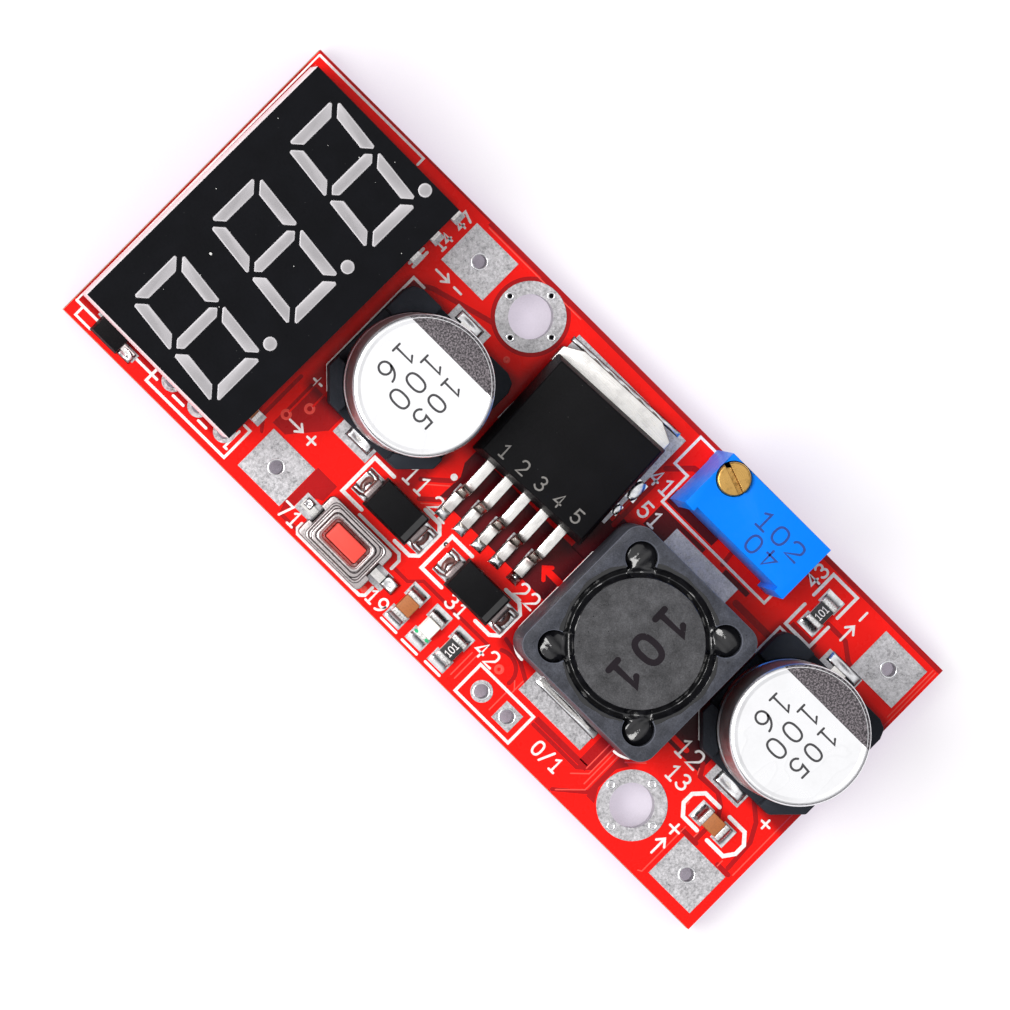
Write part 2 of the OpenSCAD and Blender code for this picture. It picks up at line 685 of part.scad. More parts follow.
meter_chip_show = 0.07;
meter_chip_x = display_place[0] + display_l / 2 + meter_chip_show;
meter_chip_ys = [11.25, 9.2, 7.2, -8.6];
meter_chip_places = [for (y = meter_chip_ys) [meter_chip_x, y]];
meter_chip_w = 0.8;
meter_chip_h = 0.45;
meter_chip_end = 0.3;
module meter_chip_bodies() color([0.75, 0.6, 0.45]) for (p = meter_chip_places)
    at(p, seat_z) slab(meter_chip_l - 2 * meter_chip_end, meter_chip_w - 0.04, meter_chip_h);
module meter_chip_ends() color("silver") for (p = meter_chip_places, s = [-1, 1])
    at(p, seat_z) translate([s * (meter_chip_l - meter_chip_end) / 2, 0, 0])
        slab(meter_chip_end, meter_chip_w, meter_chip_h + 0.03);

// ---- can capacitors ----

can_edge_r = 0.35;
can_rim = 0.25;
can_dish = 0.05;
groove_z = 3.3;
groove_depth = 0.3;
can_clear = 0.03;
can_lead_t = 0.2;
module capacitor_can(place) at(place, seat_z) rotate_extrude() polygon(concat(
    [[0, can_base_t], [can_d / 2 - 0.3, can_base_t]],
    [[can_d / 2, can_base_t + 0.3], [can_d / 2, groove_z - 0.55]],
    arc(can_d / 2 + 0.35, groove_z, 0.65, 237.8, 122.2, 8),
    arc(can_d / 2 - can_edge_r, can_h - can_edge_r, can_edge_r, 0, 90),
    [[can_d / 2 - can_edge_r - can_rim, can_h - can_dish], [0, can_h - can_dish]]
));

module capacitor_outline(h) linear_extrude(h) polygon([
    [-can_base / 2 + can_chamfer, -can_base / 2], [can_base / 2 - can_chamfer, -can_base / 2],
    [can_base / 2, -can_base / 2 + can_chamfer], [can_base / 2, can_base / 2 - can_round],
    [can_base / 2 - can_round * 0.3, can_base / 2 - can_round * 0.3],
    [can_base / 2 - can_round, can_base / 2], [-can_base / 2 + can_round, can_base / 2],
    [-can_base / 2 + can_round * 0.3, can_base / 2 - can_round * 0.3],
    [-can_base / 2, can_base / 2 - can_round], [-can_base / 2, -can_base / 2 + can_chamfer]
]);
can_round = 1.0;
module capacitor_base(place) at(place, seat_z) difference() {
    capacitor_outline(can_post_h);
    translate([0, 0, can_base_t]) cylinder(d = can_d + 2 * can_clear, h = can_post_h);
    for (a = [0, 90]) rotate([0, 0, a])
        slab(can_base + 1, can_base * 0.46, can_post_h, can_base_t);
    capacitor_lead_pair();
}
module capacitor_lead_pair() for (s = [-1, 1])
    translate([-can_lead_w / 2, s > 0 ? 1 : -can_lead_span / 2, 0])
        cube([can_lead_w, can_lead_span / 2 - 1, can_lead_t]);
module capacitor_leads(place) at(place, seat_z) capacitor_lead_pair();

module input_capacitor_can() color("whitesmoke") capacitor_can(in_can_place);
module input_capacitor_base() color([0.15, 0.16, 0.2]) capacitor_base(in_can_place);
module input_capacitor_leads() color("silver") capacitor_leads(in_can_place);
module output_capacitor_can() color("whitesmoke") capacitor_can(out_can_place);
module output_capacitor_base() color([0.15, 0.16, 0.2]) capacitor_base(out_can_place);
module output_capacitor_leads() color("silver") capacitor_leads(out_can_place);

// ---- inductor ----

pocket_x = shield_side / 2 - 2.05;
pocket_y = shield_side / 2 - 1.85;
core_z = seat_z + inductor_base_t;
shield_h = inductor_h - inductor_base_t;
drum_top_gap = 0.1;
glue_depth = 0.3;
glue_h = 1.2;
terminal_w = 4.8;
terminal_t = 0.15;
terminal_reach = 2.6;
terminal_out = 0.3;
terminal_up = 0.6;
module shield_bore_form(h, z) {
    translate([0, 0, z]) cylinder(d = shield_bore, h = h);
    for (x = [-1, 1], y = [-1, 1])
        translate([x * pocket_x, y * pocket_y, z]) cylinder(r = pocket_r, h = h);
}
module inductor_shield() color([0.28, 0.29, 0.33]) at(inductor_place, core_z) difference() {
    rounded_slab(shield_side, shield_side, shield_h, shield_corner);
    shield_bore_form(shield_h + 2, -1);
}

module inductor_drum_core() color([0.32, 0.32, 0.33]) at(inductor_place, core_z) {
    cylinder(d = drum_d, h = drum_flange_t);
    cylinder(d = drum_post_d, h = shield_h - drum_top_gap);
    translate([0, 0, shield_h - drum_top_gap - drum_flange_t])
        cylinder(d = drum_d, h = drum_flange_t);
}

winding_room = shield_h - drum_top_gap - 2 * drum_flange_t;
turns = floor(winding_room / wire_d);
layers = max(1, floor((drum_d - drum_post_d) / 2 / wire_d));
// the outer layer of wire shows as one ridge for each turn
module inductor_winding() color("peru")
    at(inductor_place, core_z + drum_flange_t) rotate_extrude() polygon(concat(
        [[drum_post_d / 2, 0]],
        [
            for (i = [0 : turns - 1]) for (p = arc(drum_post_d / 2 + (layers - 0.5) * wire_d,
                (i + 0.5) * winding_room / turns, winding_room / turns / 2, -90, 90)) p
        ],
        [[drum_post_d / 2, winding_room]]
    ));

module inductor_glue() color([0.05, 0.05, 0.06]) at(inductor_place, core_z) difference() {
    shield_bore_form(glue_h, shield_h - glue_depth - glue_h);
    translate([0, 0, -1]) cylinder(d = drum_d, h = shield_h + 2);
}

module inductor_base() color([0.12, 0.12, 0.13]) at(inductor_place, seat_z) difference() {
    rounded_slab(shield_side - 0.4, shield_side - 0.4, inductor_base_t, shield_corner);
    inductor_terminal_pair();
}
module inductor_terminal_pair() for (s = [0, 1]) mirror([0, s, 0])
    union() {
        translate([-terminal_w / 2, shield_side / 2 - terminal_reach, 0])
            cube([terminal_w, terminal_reach + terminal_out, terminal_t]);
        translate([-terminal_w / 2, shield_side / 2 + terminal_out - terminal_t, 0])
            cube([terminal_w, terminal_t, terminal_up]);
    }
module inductor_terminals() color("silver") at(inductor_place, seat_z) inductor_terminal_pair();

// ---- regulator ----

tab_corner = 1.4;
body_draft = 0.36;
lead_exit_z = 2.4;
module regulator_body() color([0.09, 0.09, 0.1]) at(regulator_place, seat_z, regulator_turn)
    difference() {
        drafted_block(regulator_w, regulator_l, regulator_h, lead_exit_z, 0.1, body_draft);
        regulator_tab_form();
        regulator_lead_set();
    }
module regulator_tab_form() {
    inset = 0.45;
    linear_extrude(tab_t) polygon([
        [-regulator_w / 2 + inset, -regulator_l / 2 + 1.2],
        [regulator_w / 2 - inset, -regulator_l / 2 + 1.2],
        [regulator_w / 2 - inset, regulator_l / 2 - 0.6],
        [regulator_w / 2, regulator_l / 2 - 0.6],
        [regulator_w / 2, regulator_l / 2 + tab_out - 0.75],
        [regulator_w / 2 - tab_corner, regulator_l / 2 + tab_out],
        [-regulator_w / 2 + tab_corner, regulator_l / 2 + tab_out],
        [-regulator_w / 2, regulator_l / 2 + tab_out - 0.75],
        [-regulator_w / 2, regulator_l / 2 - 0.6],
        [-regulator_w / 2 + inset, regulator_l / 2 - 0.6]
    ]);
}
module regulator_tab() color("gainsboro") at(regulator_place, seat_z, regulator_turn)
    regulator_tab_form();
module regulator_lead_set() for (i = [-2 : 2])
    translate([i * lead_pitch, -regulator_l / 2, 0]) rotate([0, 0, -90]) bent_strip([
        [-1, lead_exit_z], [2.3, lead_exit_z],
        [2.75, lead_t / 2], [lead_reach, lead_t / 2]
    ], lead_t, lead_w, 0.4);
module regulator_leads() color("silver") at(regulator_place, seat_z, regulator_turn)
    regulator_lead_set();

// ---- diodes ----

diode_lead_t = 0.2;
diode_lift = 0.25;
diode_lead_z = 1.15;
module diode_body(place) at(place, seat_z) difference() {
    translate([0, 0, diode_lift])
        drafted_block(diode_l, diode_w, diode_h - diode_lift, diode_lead_z - diode_lift, 0.12, 0.14);
    diode_lead_pair();
}
module diode_lead_pair() for (s = [0, 1]) mirror([s, 0, 0]) bent_strip([
        [diode_l / 2 - 0.5, diode_lead_z],
        [diode_span / 2 - diode_lead_t / 2, diode_lead_z],
        [diode_span / 2 - diode_lead_t / 2, diode_lead_t / 2],
        [diode_span / 2 - 1.3, diode_lead_t / 2]
    ], diode_lead_t, diode_lead_w, 0.2);
module diode_leads(place) at(place, seat_z) diode_lead_pair();
module input_diode_body() color([0.09, 0.09, 0.1]) diode_body(in_diode_place);
module input_diode_leads() color("silver") diode_leads(in_diode_place);
module freewheel_diode_body() color([0.09, 0.09, 0.1]) diode_body(wheel_diode_place);
module freewheel_diode_leads() color("silver") diode_leads(wheel_diode_place);

// ---- push switch ----

switch_floor = 0.4;
dome_h = 0.6;
dome_t = 0.08;
dome_r = 1.05;
flange_t = 0.35;
flange_lip = 0.45;
slide_fit = 0.1;
collar_h = 0.3;
collar_wall = 0.25;
step_wall = 0.35;
cover_notch = 0.35;
notch_w = 1.2;
switch_lead_out = 1.05;
switch_lead_w = 0.6;
switch_lead_t = 0.15;
cover_z = cover_h - collar_h - cover_t;
flange_z = switch_floor + dome_h + 0.02;
opening_l = button_l + 2 * button_gap;
opening_w = button_w + 2 * button_gap;
flange_l = opening_l + 2 * flange_lip;
flange_w = opening_w + 2 * 0.2;
module switch_base() color([0.1, 0.1, 0.1]) at(switch_place, seat_z) difference() {
    slab(switch_l - 2 * cover_t - 0.1, switch_w - 2 * cover_t - 0.1, cover_z);
    slab(flange_l + 2 * slide_fit, flange_w + 2 * slide_fit, cover_z, switch_floor);
    switch_terminal_pair();
}
module switch_cover() color("silver") at(switch_place, seat_z) difference() {
    union() {
        rounded_slab(switch_l, switch_w, cover_z + cover_t - 0.3, 0.35, 0.3);
        rounded_slab(opening_l + 2 * collar_wall + 2 * step_wall,
            opening_w + 2 * collar_wall + 2 * step_wall, cover_t + collar_h / 2, 0.55, cover_z);
        rounded_slab(opening_l + 2 * collar_wall, opening_w + 2 * collar_wall,
            cover_h - cover_z, 0.5, cover_z);
    }
    for (s = [-1, 1]) translate([s * switch_l / 2, 0, 0])
        slab(2 * cover_notch, notch_w, cover_h + 1, 0);
    slab(switch_l - 2 * cover_t, switch_w - 2 * cover_t, cover_z, 0);
    rounded_slab(opening_l, opening_w, cover_h, 0.3, cover_z - 0.1);
    slab(switch_l + 2, switch_lead_w + 0.4, 0.4, 0);
}
module switch_button() color([0.95, 0.36, 0.32]) at(switch_place, seat_z) {
    slab(flange_l, flange_w, flange_t, flange_z);
    slab(button_l, button_w, switch_h - flange_z, flange_z);
}
module switch_dome() color("silver") at(switch_place, seat_z + switch_floor)
    rotate_extrude() polygon(concat(
        [for (k = [0 : 6]) let (r = dome_r * (1 - k / 6)) [r, dome_profile(r)]],
        [for (k = [6 : -1 : 0]) let (r = dome_r * (1 - k / 6)) [r, dome_profile(r) + dome_t]]
    ));
function dome_profile(r) = (dome_h - dome_t) * (1 - (r / dome_r) ^ 2);
module switch_terminal_pair() for (s = [0, 1]) mirror([s, 0, 0])
    translate([switch_l / 2 - 1.2, -switch_lead_w / 2, 0])
        cube([1.2 + switch_lead_out, switch_lead_w, switch_lead_t]);
module switch_terminals() color("silver") at(switch_place, seat_z) switch_terminal_pair();

// ---- trimmer ----

foot_l = 0.9;
step_end = 0.85;
screw_x = -trimmer_l / 2 + screw_inset;
screw_y = trimmer_w / 2 - screw_inset;
head_l = 1.9;
shank_d = 1.5;
shank_l = 4;
slot_depth = 0.6;
head_z = trimmer_h + screw_proud - head_l;
module trimmer_housing() color("dodgerblue") at(trimmer_place, top_z) difference() {
    union() {
        slab(trimmer_l, trimmer_w, trimmer_h - trimmer_foot_h, trimmer_foot_h);
        for (x = [-1, 1], y = [-1, 1])
            translate([x * (trimmer_l - foot_l) / 2, y * (trimmer_w - foot_l) / 2, 0])
                slab(foot_l, foot_l, trimmer_foot_h + 0.1);
    }
    translate([0, -trimmer_w / 2, trimmer_foot_h - 0.1])
        slab(trimmer_l - 2 * step_end, 2 * trimmer_step, trimmer_h);
    translate([screw_x, screw_y, head_z - screw_fit])
        cylinder(d = screw_d + 2 * screw_fit, h = head_l + 1);
    translate([screw_x, screw_y, head_z - shank_l - screw_fit])
        cylinder(d = shank_d + 2 * screw_fit, h = shank_l + 1);
}
module trimmer_screw() color("goldenrod")
    at(trimmer_place, top_z) translate([screw_x, screw_y, head_z]) difference() {
        union() {
            cylinder(d = screw_d, h = head_l - 0.1);
            translate([0, 0, head_l - 0.1]) cylinder(d1 = screw_d, d2 = screw_d - 0.2, h = 0.1);
            translate([0, 0, -shank_l]) cylinder(d = shank_d, h = shank_l + 0.1);
        }
        rotate([0, 0, slot_turn]) slab(screw_d + 1, slot_w, slot_depth + 1, head_l - slot_depth);
    }
module trimmer_pins() color("silver") at(trimmer_place)
    for (p = trimmer_pin_places) at(p) cylinder(d = pin_d, h = top_z + trimmer_foot_h);

// ---- chip parts ----

module chip_middle(place, turn, h) at(place, seat_z, turn)
    slab(chip_l - 2 * chip_end, chip_w - 0.04, h);
module chip_end_pair(place, turn, h) at(place, seat_z, turn) for (s = [-1, 1])
    translate([s * (chip_l - chip_end) / 2, 0, 0]) slab(chip_end, chip_w, h + 0.03);

module chip_resistor_bodies() color([0.12, 0.12, 0.13])
    for (p = [lamp_resistor_place, divider_place]) chip_middle(p, 90, resistor_h);
module chip_resistor_ends() color("silver")
    for (p = [lamp_resistor_place, divider_place]) chip_end_pair(p, 90, resistor_h);
module chip_capacitor_bodies() color([0.75, 0.47, 0.25]) {
    chip_middle(chip_cap_place, 90, chip_cap_h);
    chip_middle(out_chip_place, 0, chip_cap_h);
}
module chip_capacitor_ends() color("silver") {
    chip_end_pair(chip_cap_place, 90, chip_cap_h);
    chip_end_pair(out_chip_place, 0, chip_cap_h);
}
module indicator_lamp_body() color("white") chip_middle(lamp_place, 90, lamp_body_h);
module indicator_lamp_lens() color("honeydew") at(lamp_place, seat_z + lamp_body_h)
    drafted_block(chip_w - 0.04, chip_l - 2 * chip_end, lamp_lens_h, 0.01, 0, 0.08);
module indicator_lamp_ends() color("silver")
    chip_end_pair(lamp_place, 90, lamp_body_h - 0.03);

circuit_board();
mounting_hole_linings();
wire_pads();
jumper_hole_linings();
header_hole_linings();
solder_lands();
pin_solder_joints();
display_housing();
display_face();
display_bars();
display_circuit_board();
display_lamp_chips();
display_pins();
meter_regulator_body();
meter_regulator_leads();
meter_controller_body();
meter_controller_leads();
meter_chip_bodies();
meter_chip_ends();
input_capacitor_can();
input_capacitor_base();
input_capacitor_leads();
output_capacitor_can();
output_capacitor_base();
output_capacitor_leads();
inductor_shield();
inductor_drum_core();
inductor_winding();
inductor_glue();
inductor_base();
inductor_terminals();
regulator_body();
regulator_tab();
regulator_leads();
input_diode_body();
input_diode_leads();
freewheel_diode_body();
freewheel_diode_leads();
switch_base();
switch_cover();
switch_button();
switch_dome();
switch_terminals();
trimmer_housing();
trimmer_screw();
trimmer_pins();
chip_resistor_bodies();
chip_resistor_ends();
chip_capacitor_bodies();
chip_capacitor_ends();
indicator_lamp_body();
indicator_lamp_lens();
indicator_lamp_ends();
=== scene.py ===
"""Dresses a step-down converter board: finishes, white printing, solder, copper pattern,
softened edges and a plain stage. Lengths in the lists are millimetres on the board, counted
from its low left corner: u along the board and v across it."""

import math

import bmesh
import bpy
import numpy as np
from bpy.props import FloatProperty, FloatVectorProperty, PointerProperty
from bpy.types import Operator, Panel, PropertyGroup
from mathutils import Matrix, Vector


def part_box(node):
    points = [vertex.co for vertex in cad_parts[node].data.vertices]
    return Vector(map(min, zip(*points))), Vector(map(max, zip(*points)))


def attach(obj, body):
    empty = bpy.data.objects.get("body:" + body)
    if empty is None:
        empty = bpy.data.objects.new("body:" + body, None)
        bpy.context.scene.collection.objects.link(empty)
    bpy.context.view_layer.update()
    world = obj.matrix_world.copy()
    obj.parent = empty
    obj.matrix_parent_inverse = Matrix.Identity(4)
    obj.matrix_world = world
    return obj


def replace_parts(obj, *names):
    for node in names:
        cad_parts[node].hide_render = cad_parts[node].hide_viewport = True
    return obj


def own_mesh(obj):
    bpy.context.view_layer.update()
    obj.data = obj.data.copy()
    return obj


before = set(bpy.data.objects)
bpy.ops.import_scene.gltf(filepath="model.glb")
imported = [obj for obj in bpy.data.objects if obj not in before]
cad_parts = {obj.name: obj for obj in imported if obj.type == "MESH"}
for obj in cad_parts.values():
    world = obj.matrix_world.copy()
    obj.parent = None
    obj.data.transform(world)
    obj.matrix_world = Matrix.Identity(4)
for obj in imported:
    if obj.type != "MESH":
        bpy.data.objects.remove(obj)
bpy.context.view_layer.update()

bl_info = {
    "name": "Step-down Converter Dressing",
    "version": (1, 0, 0),
    "blender": (4, 5, 0),
    "location": "3D View > Sidebar > Converter",
    "description": "Finishes, printing and solder for a step-down converter board",
    "category": "Object",
}

MM = 0.001
BOARD_LOW, BOARD_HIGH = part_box("circuit_board")
BOARD_TOP = BOARD_HIGH.z / MM
COPPER_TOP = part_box("solder_lands")[1].z / MM


# ---- places and curves ----

def middle(node):
    """Middle of a node's box on the board, and its top, in board millimetres."""
    low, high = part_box(node)
    centre = (low + high) / 2 - BOARD_LOW
    return centre.x / MM, centre.y / MM, high.z / MM


def in_model(node):
    """Middle of a node's box on the ground of the model's own frame, in millimetres."""
    u, v, _ = middle(node)
    return u + BOARD_LOW.x / MM, v + BOARD_LOW.y / MM, 0


def bow(u, v, ru, rv, first, last, steps=14, power=1.0):
    """Points on an oval round (u, v) from one angle to another, in degrees. A power below 1
    squares the oval: each coordinate is the radius times |cos| or |sin| to that power."""
    angle = np.radians(np.linspace(first, last, steps + 1))
    cosine, sine = np.cos(angle), np.sin(angle)
    return np.stack([u + ru * np.sign(cosine) * np.abs(cosine) ** power,
                     v + rv * np.sign(sine) * np.abs(sine) ** power], -1)


def turned(points, degrees, about=(0, 0)):
    """Points turned about a place on the board."""
    angle = math.radians(degrees)
    cosine, sine = math.cos(angle), math.sin(angle)
    return (np.asarray(points, float) - about) @ [[cosine, sine], [-sine, cosine]] + about


def box_outline(u0, v0, u1, v1, corner=0.0):
    """Closed outline of a box on the board, with its corners rounded."""
    if corner <= 0:
        return np.array([(u0, v0), (u1, v0), (u1, v1), (u0, v1)], float)
    centres = ((u1, v0), (u1, v1), (u0, v1), (u0, v0))
    inwards = ((-1, 1), (-1, -1), (1, -1), (1, 1))
    return np.concatenate([
        bow(u + du * corner, v + dv * corner, corner, corner, first, first + 90, 6)
        for (u, v), (du, dv), first in zip(centres, inwards, (-90, 0, 90, 180))])


# ---- meshes ----

SAME = 1e-6             # points closer than this are one point
STROKE_STEP = 0.0012    # from one stroke's top to the next one's
STROKE_LEVELS = 7


class Shape:
    """Gathers points in board millimetres and faces, and turns them into one mesh."""

    def __init__(self):
        self.points, self.faces, self.count, self.strokes = [], [], 0, 0

    def take(self, points):
        self.points.append(np.asarray(points, float).reshape(-1, 3))
        self.count += len(self.points[-1])

    def loft(self, sections, closed=False):
        """Closed sections carried along a path. Each row of the array is one section, whose
        points run clockwise when seen along the path, and quads join each row to the next."""
        rows, columns = np.shape(sections)[:2]
        last = rows if closed else rows - 1
        r, c = np.meshgrid(np.arange(last), np.arange(columns), indexing="ij")
        r2, c2 = (r + 1) % rows * columns, (c + 1) % columns
        r = r * columns
        quads = np.stack([r + c, r + c2, r2 + c2, r2 + c], -1).reshape(-1, 4)
        self.faces += (quads + self.count).tolist()
        if not closed:
            end = self.count + np.arange(columns)
            self.faces += [end[::-1].tolist(), (end + (rows - 1) * columns).tolist()]
        self.take(sections)

    def panel(self, outline, low, high):
        """Flat panel: an outline on the board, carried straight up from low to high."""
        outline = np.asarray(outline, float)
        u, v = outline.T
        if np.sum(u * np.roll(v, -1) - np.roll(u, -1) * v) < 0:
            outline = outline[::-1]
        n = len(outline)
        i = self.count + np.arange(n)
        after = np.roll(i, -1)
        self.faces += [i[::-1].tolist(), (i + n).tolist()]
        self.faces += np.stack([i, after, after + n, i + n], -1).tolist()
        self.take([np.column_stack([outline, np.full(n, z)]) for z in (low, high)])

    def line(self, points, width, low, high):
        """Line of one width along a path: at each point the section is offset to both sides
        by half the width along the mitre, and at its ends the half width shrinks as the sine
        of an angle while the section moves out as its cosine. A path that comes back to its
        start is closed, and each stroke ends a hair above the one before it."""
        path = np.asarray(points, float)
        closed = len(path) > 2 and np.linalg.norm(path[0] - path[-1]) < SAME
        self.strokes += 1
        high += STROKE_STEP * (self.strokes % STROKE_LEVELS)
        keep = np.ones(len(path), bool)
        keep[1:] = np.linalg.norm(np.diff(path, axis=0), axis=1) > SAME
        path = path[keep]
        if closed:
            path = path[:-1]
        half = np.full(len(path), width / 2)
        ahead = np.roll(path, -1, 0) - path
        if not closed:
            ahead[-1] = ahead[-2]
        ahead /= np.linalg.norm(ahead, axis=1, keepdims=True)
        behind = np.roll(ahead, 1, 0)
        if not closed:
            behind[0] = ahead[0]
        sides = [np.stack([-way[:, 1], way[:, 0]], -1) for way in (ahead, behind)]
        lean = np.maximum(1 + np.sum(sides[0] * sides[1], axis=1, keepdims=True), 0.5)
        mitre = (sides[0] + sides[1]) / lean
        if not closed:
            angle = np.radians([8, 35, 62])
            first = path[0] - ahead[0] * (width / 2) * np.cos(angle)[:, None]
            last = path[-1] + ahead[-1] * (width / 2) * np.cos(angle[::-1])[:, None]
            path = np.concatenate([first, path, last])
            mitre = np.concatenate([np.tile(mitre[:1], (3, 1)), mitre, np.tile(mitre[-1:], (3, 1))])
            half = np.concatenate([np.sin(angle), np.ones(len(half)), np.sin(angle[::-1])])
            half = half * width / 2
        offset = mitre * half[:, None]
        level = np.ones((len(path), 1))
        self.loft(np.stack([np.hstack([path + side * offset, level * z]) for side, z in
                            ((1, high), (-1, high), (-1, low), (1, low))], 1), closed)

    def lines(self, paths, width, low, high):
        for path in paths:
            self.line(path, width, low, high)

    def hill(self, place, size, height, low, turn=0.0, steps=(14, 12)):
        """Solder or glue that lies on a flat: height(s, t) is given over a grid from -1 to 1
        both ways and stands on low, with straight skirts down at its four borders."""
        s, t = np.meshgrid(*(np.linspace(-1, 1, n) for n in steps), indexing="ij")
        z = low + np.maximum(height(s, t), 0.002)
        flat = turned(np.stack([s * size[0], t * size[1]], -1), turn) + np.asarray(place[:2])
        self.blanket(np.concatenate([flat, z[..., None]], -1)[:, ::-1], low)

    def blanket(self, top, low):
        """Surface over a grid of points, whose two long borders drop straight to low."""
        foot = top[:, [-1, 0]].copy()
        foot[..., 2] = low
        self.loft(np.concatenate([top, foot], 1))

    def ring(self, place, profile, steps=64):
        """Profile of (radius, height) points carried round an upright axis. The profile runs
        from the outside over the top to the inside, so that its faces point outwards."""
        radius, height = np.asarray(profile, float).T
        angle = -np.linspace(0, 2 * np.pi, steps, endpoint=False)[:, None]
        rows = np.stack([place[0] + radius * np.cos(angle), place[1] + radius * np.sin(angle),
                         np.broadcast_to(height, (steps, len(height)))], -1)
        self.loft(rows[:, ::-1], closed=True)

    def piece(self, name, kind, slot, smooth=None):
        mesh = bpy.data.meshes.new(name)
        points = np.concatenate(self.points) * MM + [BOARD_LOW.x, BOARD_LOW.y, 0]
        mesh.from_pydata(points.tolist(), [], self.faces)
        mesh.validate()
        return put(mesh, kind, smooth=smooth)


def put(mesh, kind, body="board", smooth=None, bevel=None):
    """Links a mesh as a piece with a finish, which rides on a body. smooth is the angle in
    degrees up to which edges look round, and bevel is the width in millimetres of a
    rounded edge."""
    piece = bpy.data.objects.new(mesh.name, mesh)
    bpy.context.scene.collection.objects.link(piece)
    mesh.materials.clear()
    mesh.materials.append(finish(kind))
    if smooth or bevel:
        mesh.shade_smooth()
    if smooth:
        mesh.set_sharp_from_angle(angle=math.radians(smooth))
    if bevel:
        edge = piece.modifiers.new("edge", "BEVEL")
        edge.width, edge.segments, edge.limit_method = bevel * MM, 3, "ANGLE"
        edge.angle_limit, edge.use_clamp_overlap, edge.harden_normals = math.radians(28), True, True
    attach(piece, body)
    return piece


def softened(node, kind, width, body="board"):
    """Copy of a node whose sharp edges are rounded: the loose triangles are merged, flat
    faces are joined again, and a Bevel modifier of that width in millimetres rounds them."""
    work = bmesh.new()
    work.from_mesh(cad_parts[node].data)
    bmesh.ops.remove_doubles(work, verts=work.verts, dist=2e-6)
    bmesh.ops.dissolve_limit(work, angle_limit=math.radians(1.5), verts=work.verts,
                             edges=work.edges)
    mesh = bpy.data.meshes.new(node + "_soft")
    work.to_mesh(mesh)
    work.free()
    piece = put(mesh, kind, body, bevel=width)
    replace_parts(piece, node)
    return piece


def dress(**kinds):
    """Gives each node of the model its finish."""
    for node, kind in kinds.items():
        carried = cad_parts[node]
        if not carried.data.materials:
            carried.data.materials.append(finish(kind))
        for slot in carried.material_slots:
            slot.material = finish(kind)


# ---- figures for the printing ----

ROUND = 0.82            # how square the 0 and the 2 are
FIGURES = {
    "0": [bow(0.3, 0.5, 0.3, 0.5, 90, 450, 24, ROUND)],
    "1": [[(0.08, 0.8), (0.32, 1), (0.32, 0)], [(0.1, 0), (0.54, 0)]],
    "2": [np.concatenate([bow(0.3, 0.7, 0.28, 0.3, 165, -35, 12, ROUND), [(0.02, 0), (0.6, 0)]])],
    "3": [bow(0.28, 0.76, 0.27, 0.24, 150, -85, 11), bow(0.27, 0.27, 0.32, 0.27, 85, -155, 12)],
    "4": [[(0.44, 0), (0.44, 1), (0, 0.3), (0.6, 0.3)]],
    "5": [np.concatenate([[(0.56, 1), (0.1, 1), (0.06, 0.55)],
                          bow(0.28, 0.31, 0.31, 0.31, 105, -150, 12)])],
    "6": [np.concatenate([bow(0.55, 0.35, 0.54, 0.65, 95, 178, 7),
                          bow(0.3, 0.31, 0.29, 0.31, 185, 520, 16)])],
    "7": [[(0, 1), (0.6, 1), (0.24, 0)]],
    "9": [np.concatenate([bow(0.05, 0.65, 0.54, 0.65, -85, -2, 7),
                          bow(0.3, 0.69, 0.29, 0.31, 5, 340, 16)])],
    "+": [[(0.05, 0.5), (0.75, 0.5)], [(0.4, 0.15), (0.4, 0.85)]],
    "-": [[(0.1, 0.5), (0.7, 0.5)]],
    "/": [[(0, -0.05), (0.5, 1.05)]],
    ">": [[(0, 0.5), (1.1, 0.5)], [(0.72, 0.82), (1.1, 0.5), (0.72, 0.18)]],
}
USUAL_WIDTH = 0.62
WIDTHS = {">": 1.2, "/": 0.55}


def figures(words, place, height, turn=0.0, gap=0.26, wide=1.0):
    """Strokes of a row of figures centred on a place, as paths on the board."""
    across, paths = 0.0, []
    for letter in words:
        for stroke in FIGURES[letter]:
            paths.append(np.asarray(stroke, float) * (wide, 1) + (across, -0.5))
        across += WIDTHS.get(letter, USUAL_WIDTH) * wide + gap
    shift = (across - gap) / 2
    return [turned((path - (shift, 0)) * height, turn) + place for path in paths]


# ---- materials ----

class Value:
    """A number that changes over a surface. Sums and products of values add Math nodes."""

    def __init__(self, nodes, socket):
        self.nodes, self.socket = nodes, socket

    def maths(self, operation, *numbers):
        node = self.nodes.node("ShaderNodeMath", {"operation": operation}, dict(enumerate(numbers)))
        return Value(self.nodes, node.outputs[0])

    def __add__(self, other): return self.maths("ADD", self, other)
    def __sub__(self, other): return self.maths("SUBTRACT", self, other)
    def __rsub__(self, other): return self.maths("SUBTRACT", other, self)
    def __mul__(self, other): return self.maths("MULTIPLY", self, other)
    def __abs__(self): return self.maths("ABSOLUTE", self)
    def sine(self): return self.maths("SINE", self)
    def root(self): return self.maths("SQRT", self)
    def most(self, other): return self.maths("MAXIMUM", self, other)

    def between(self, low, high, out_low=0.0, out_high=1.0):
        """0 to 1 as the value goes smoothly from low to high, or the two numbers given."""
        node = self.nodes.node("ShaderNodeMapRange", {"interpolation_type": "SMOOTHSTEP"},
                               {"Value": self, "From Min": low, "From Max": high,
                                "To Min": out_low, "To Max": out_high})
        return Value(self.nodes, node.outputs[0])

    def over(self, low, high):
        """Spreads a cloudy value over the two numbers given."""
        return self.between(0.3, 0.7, low, high)


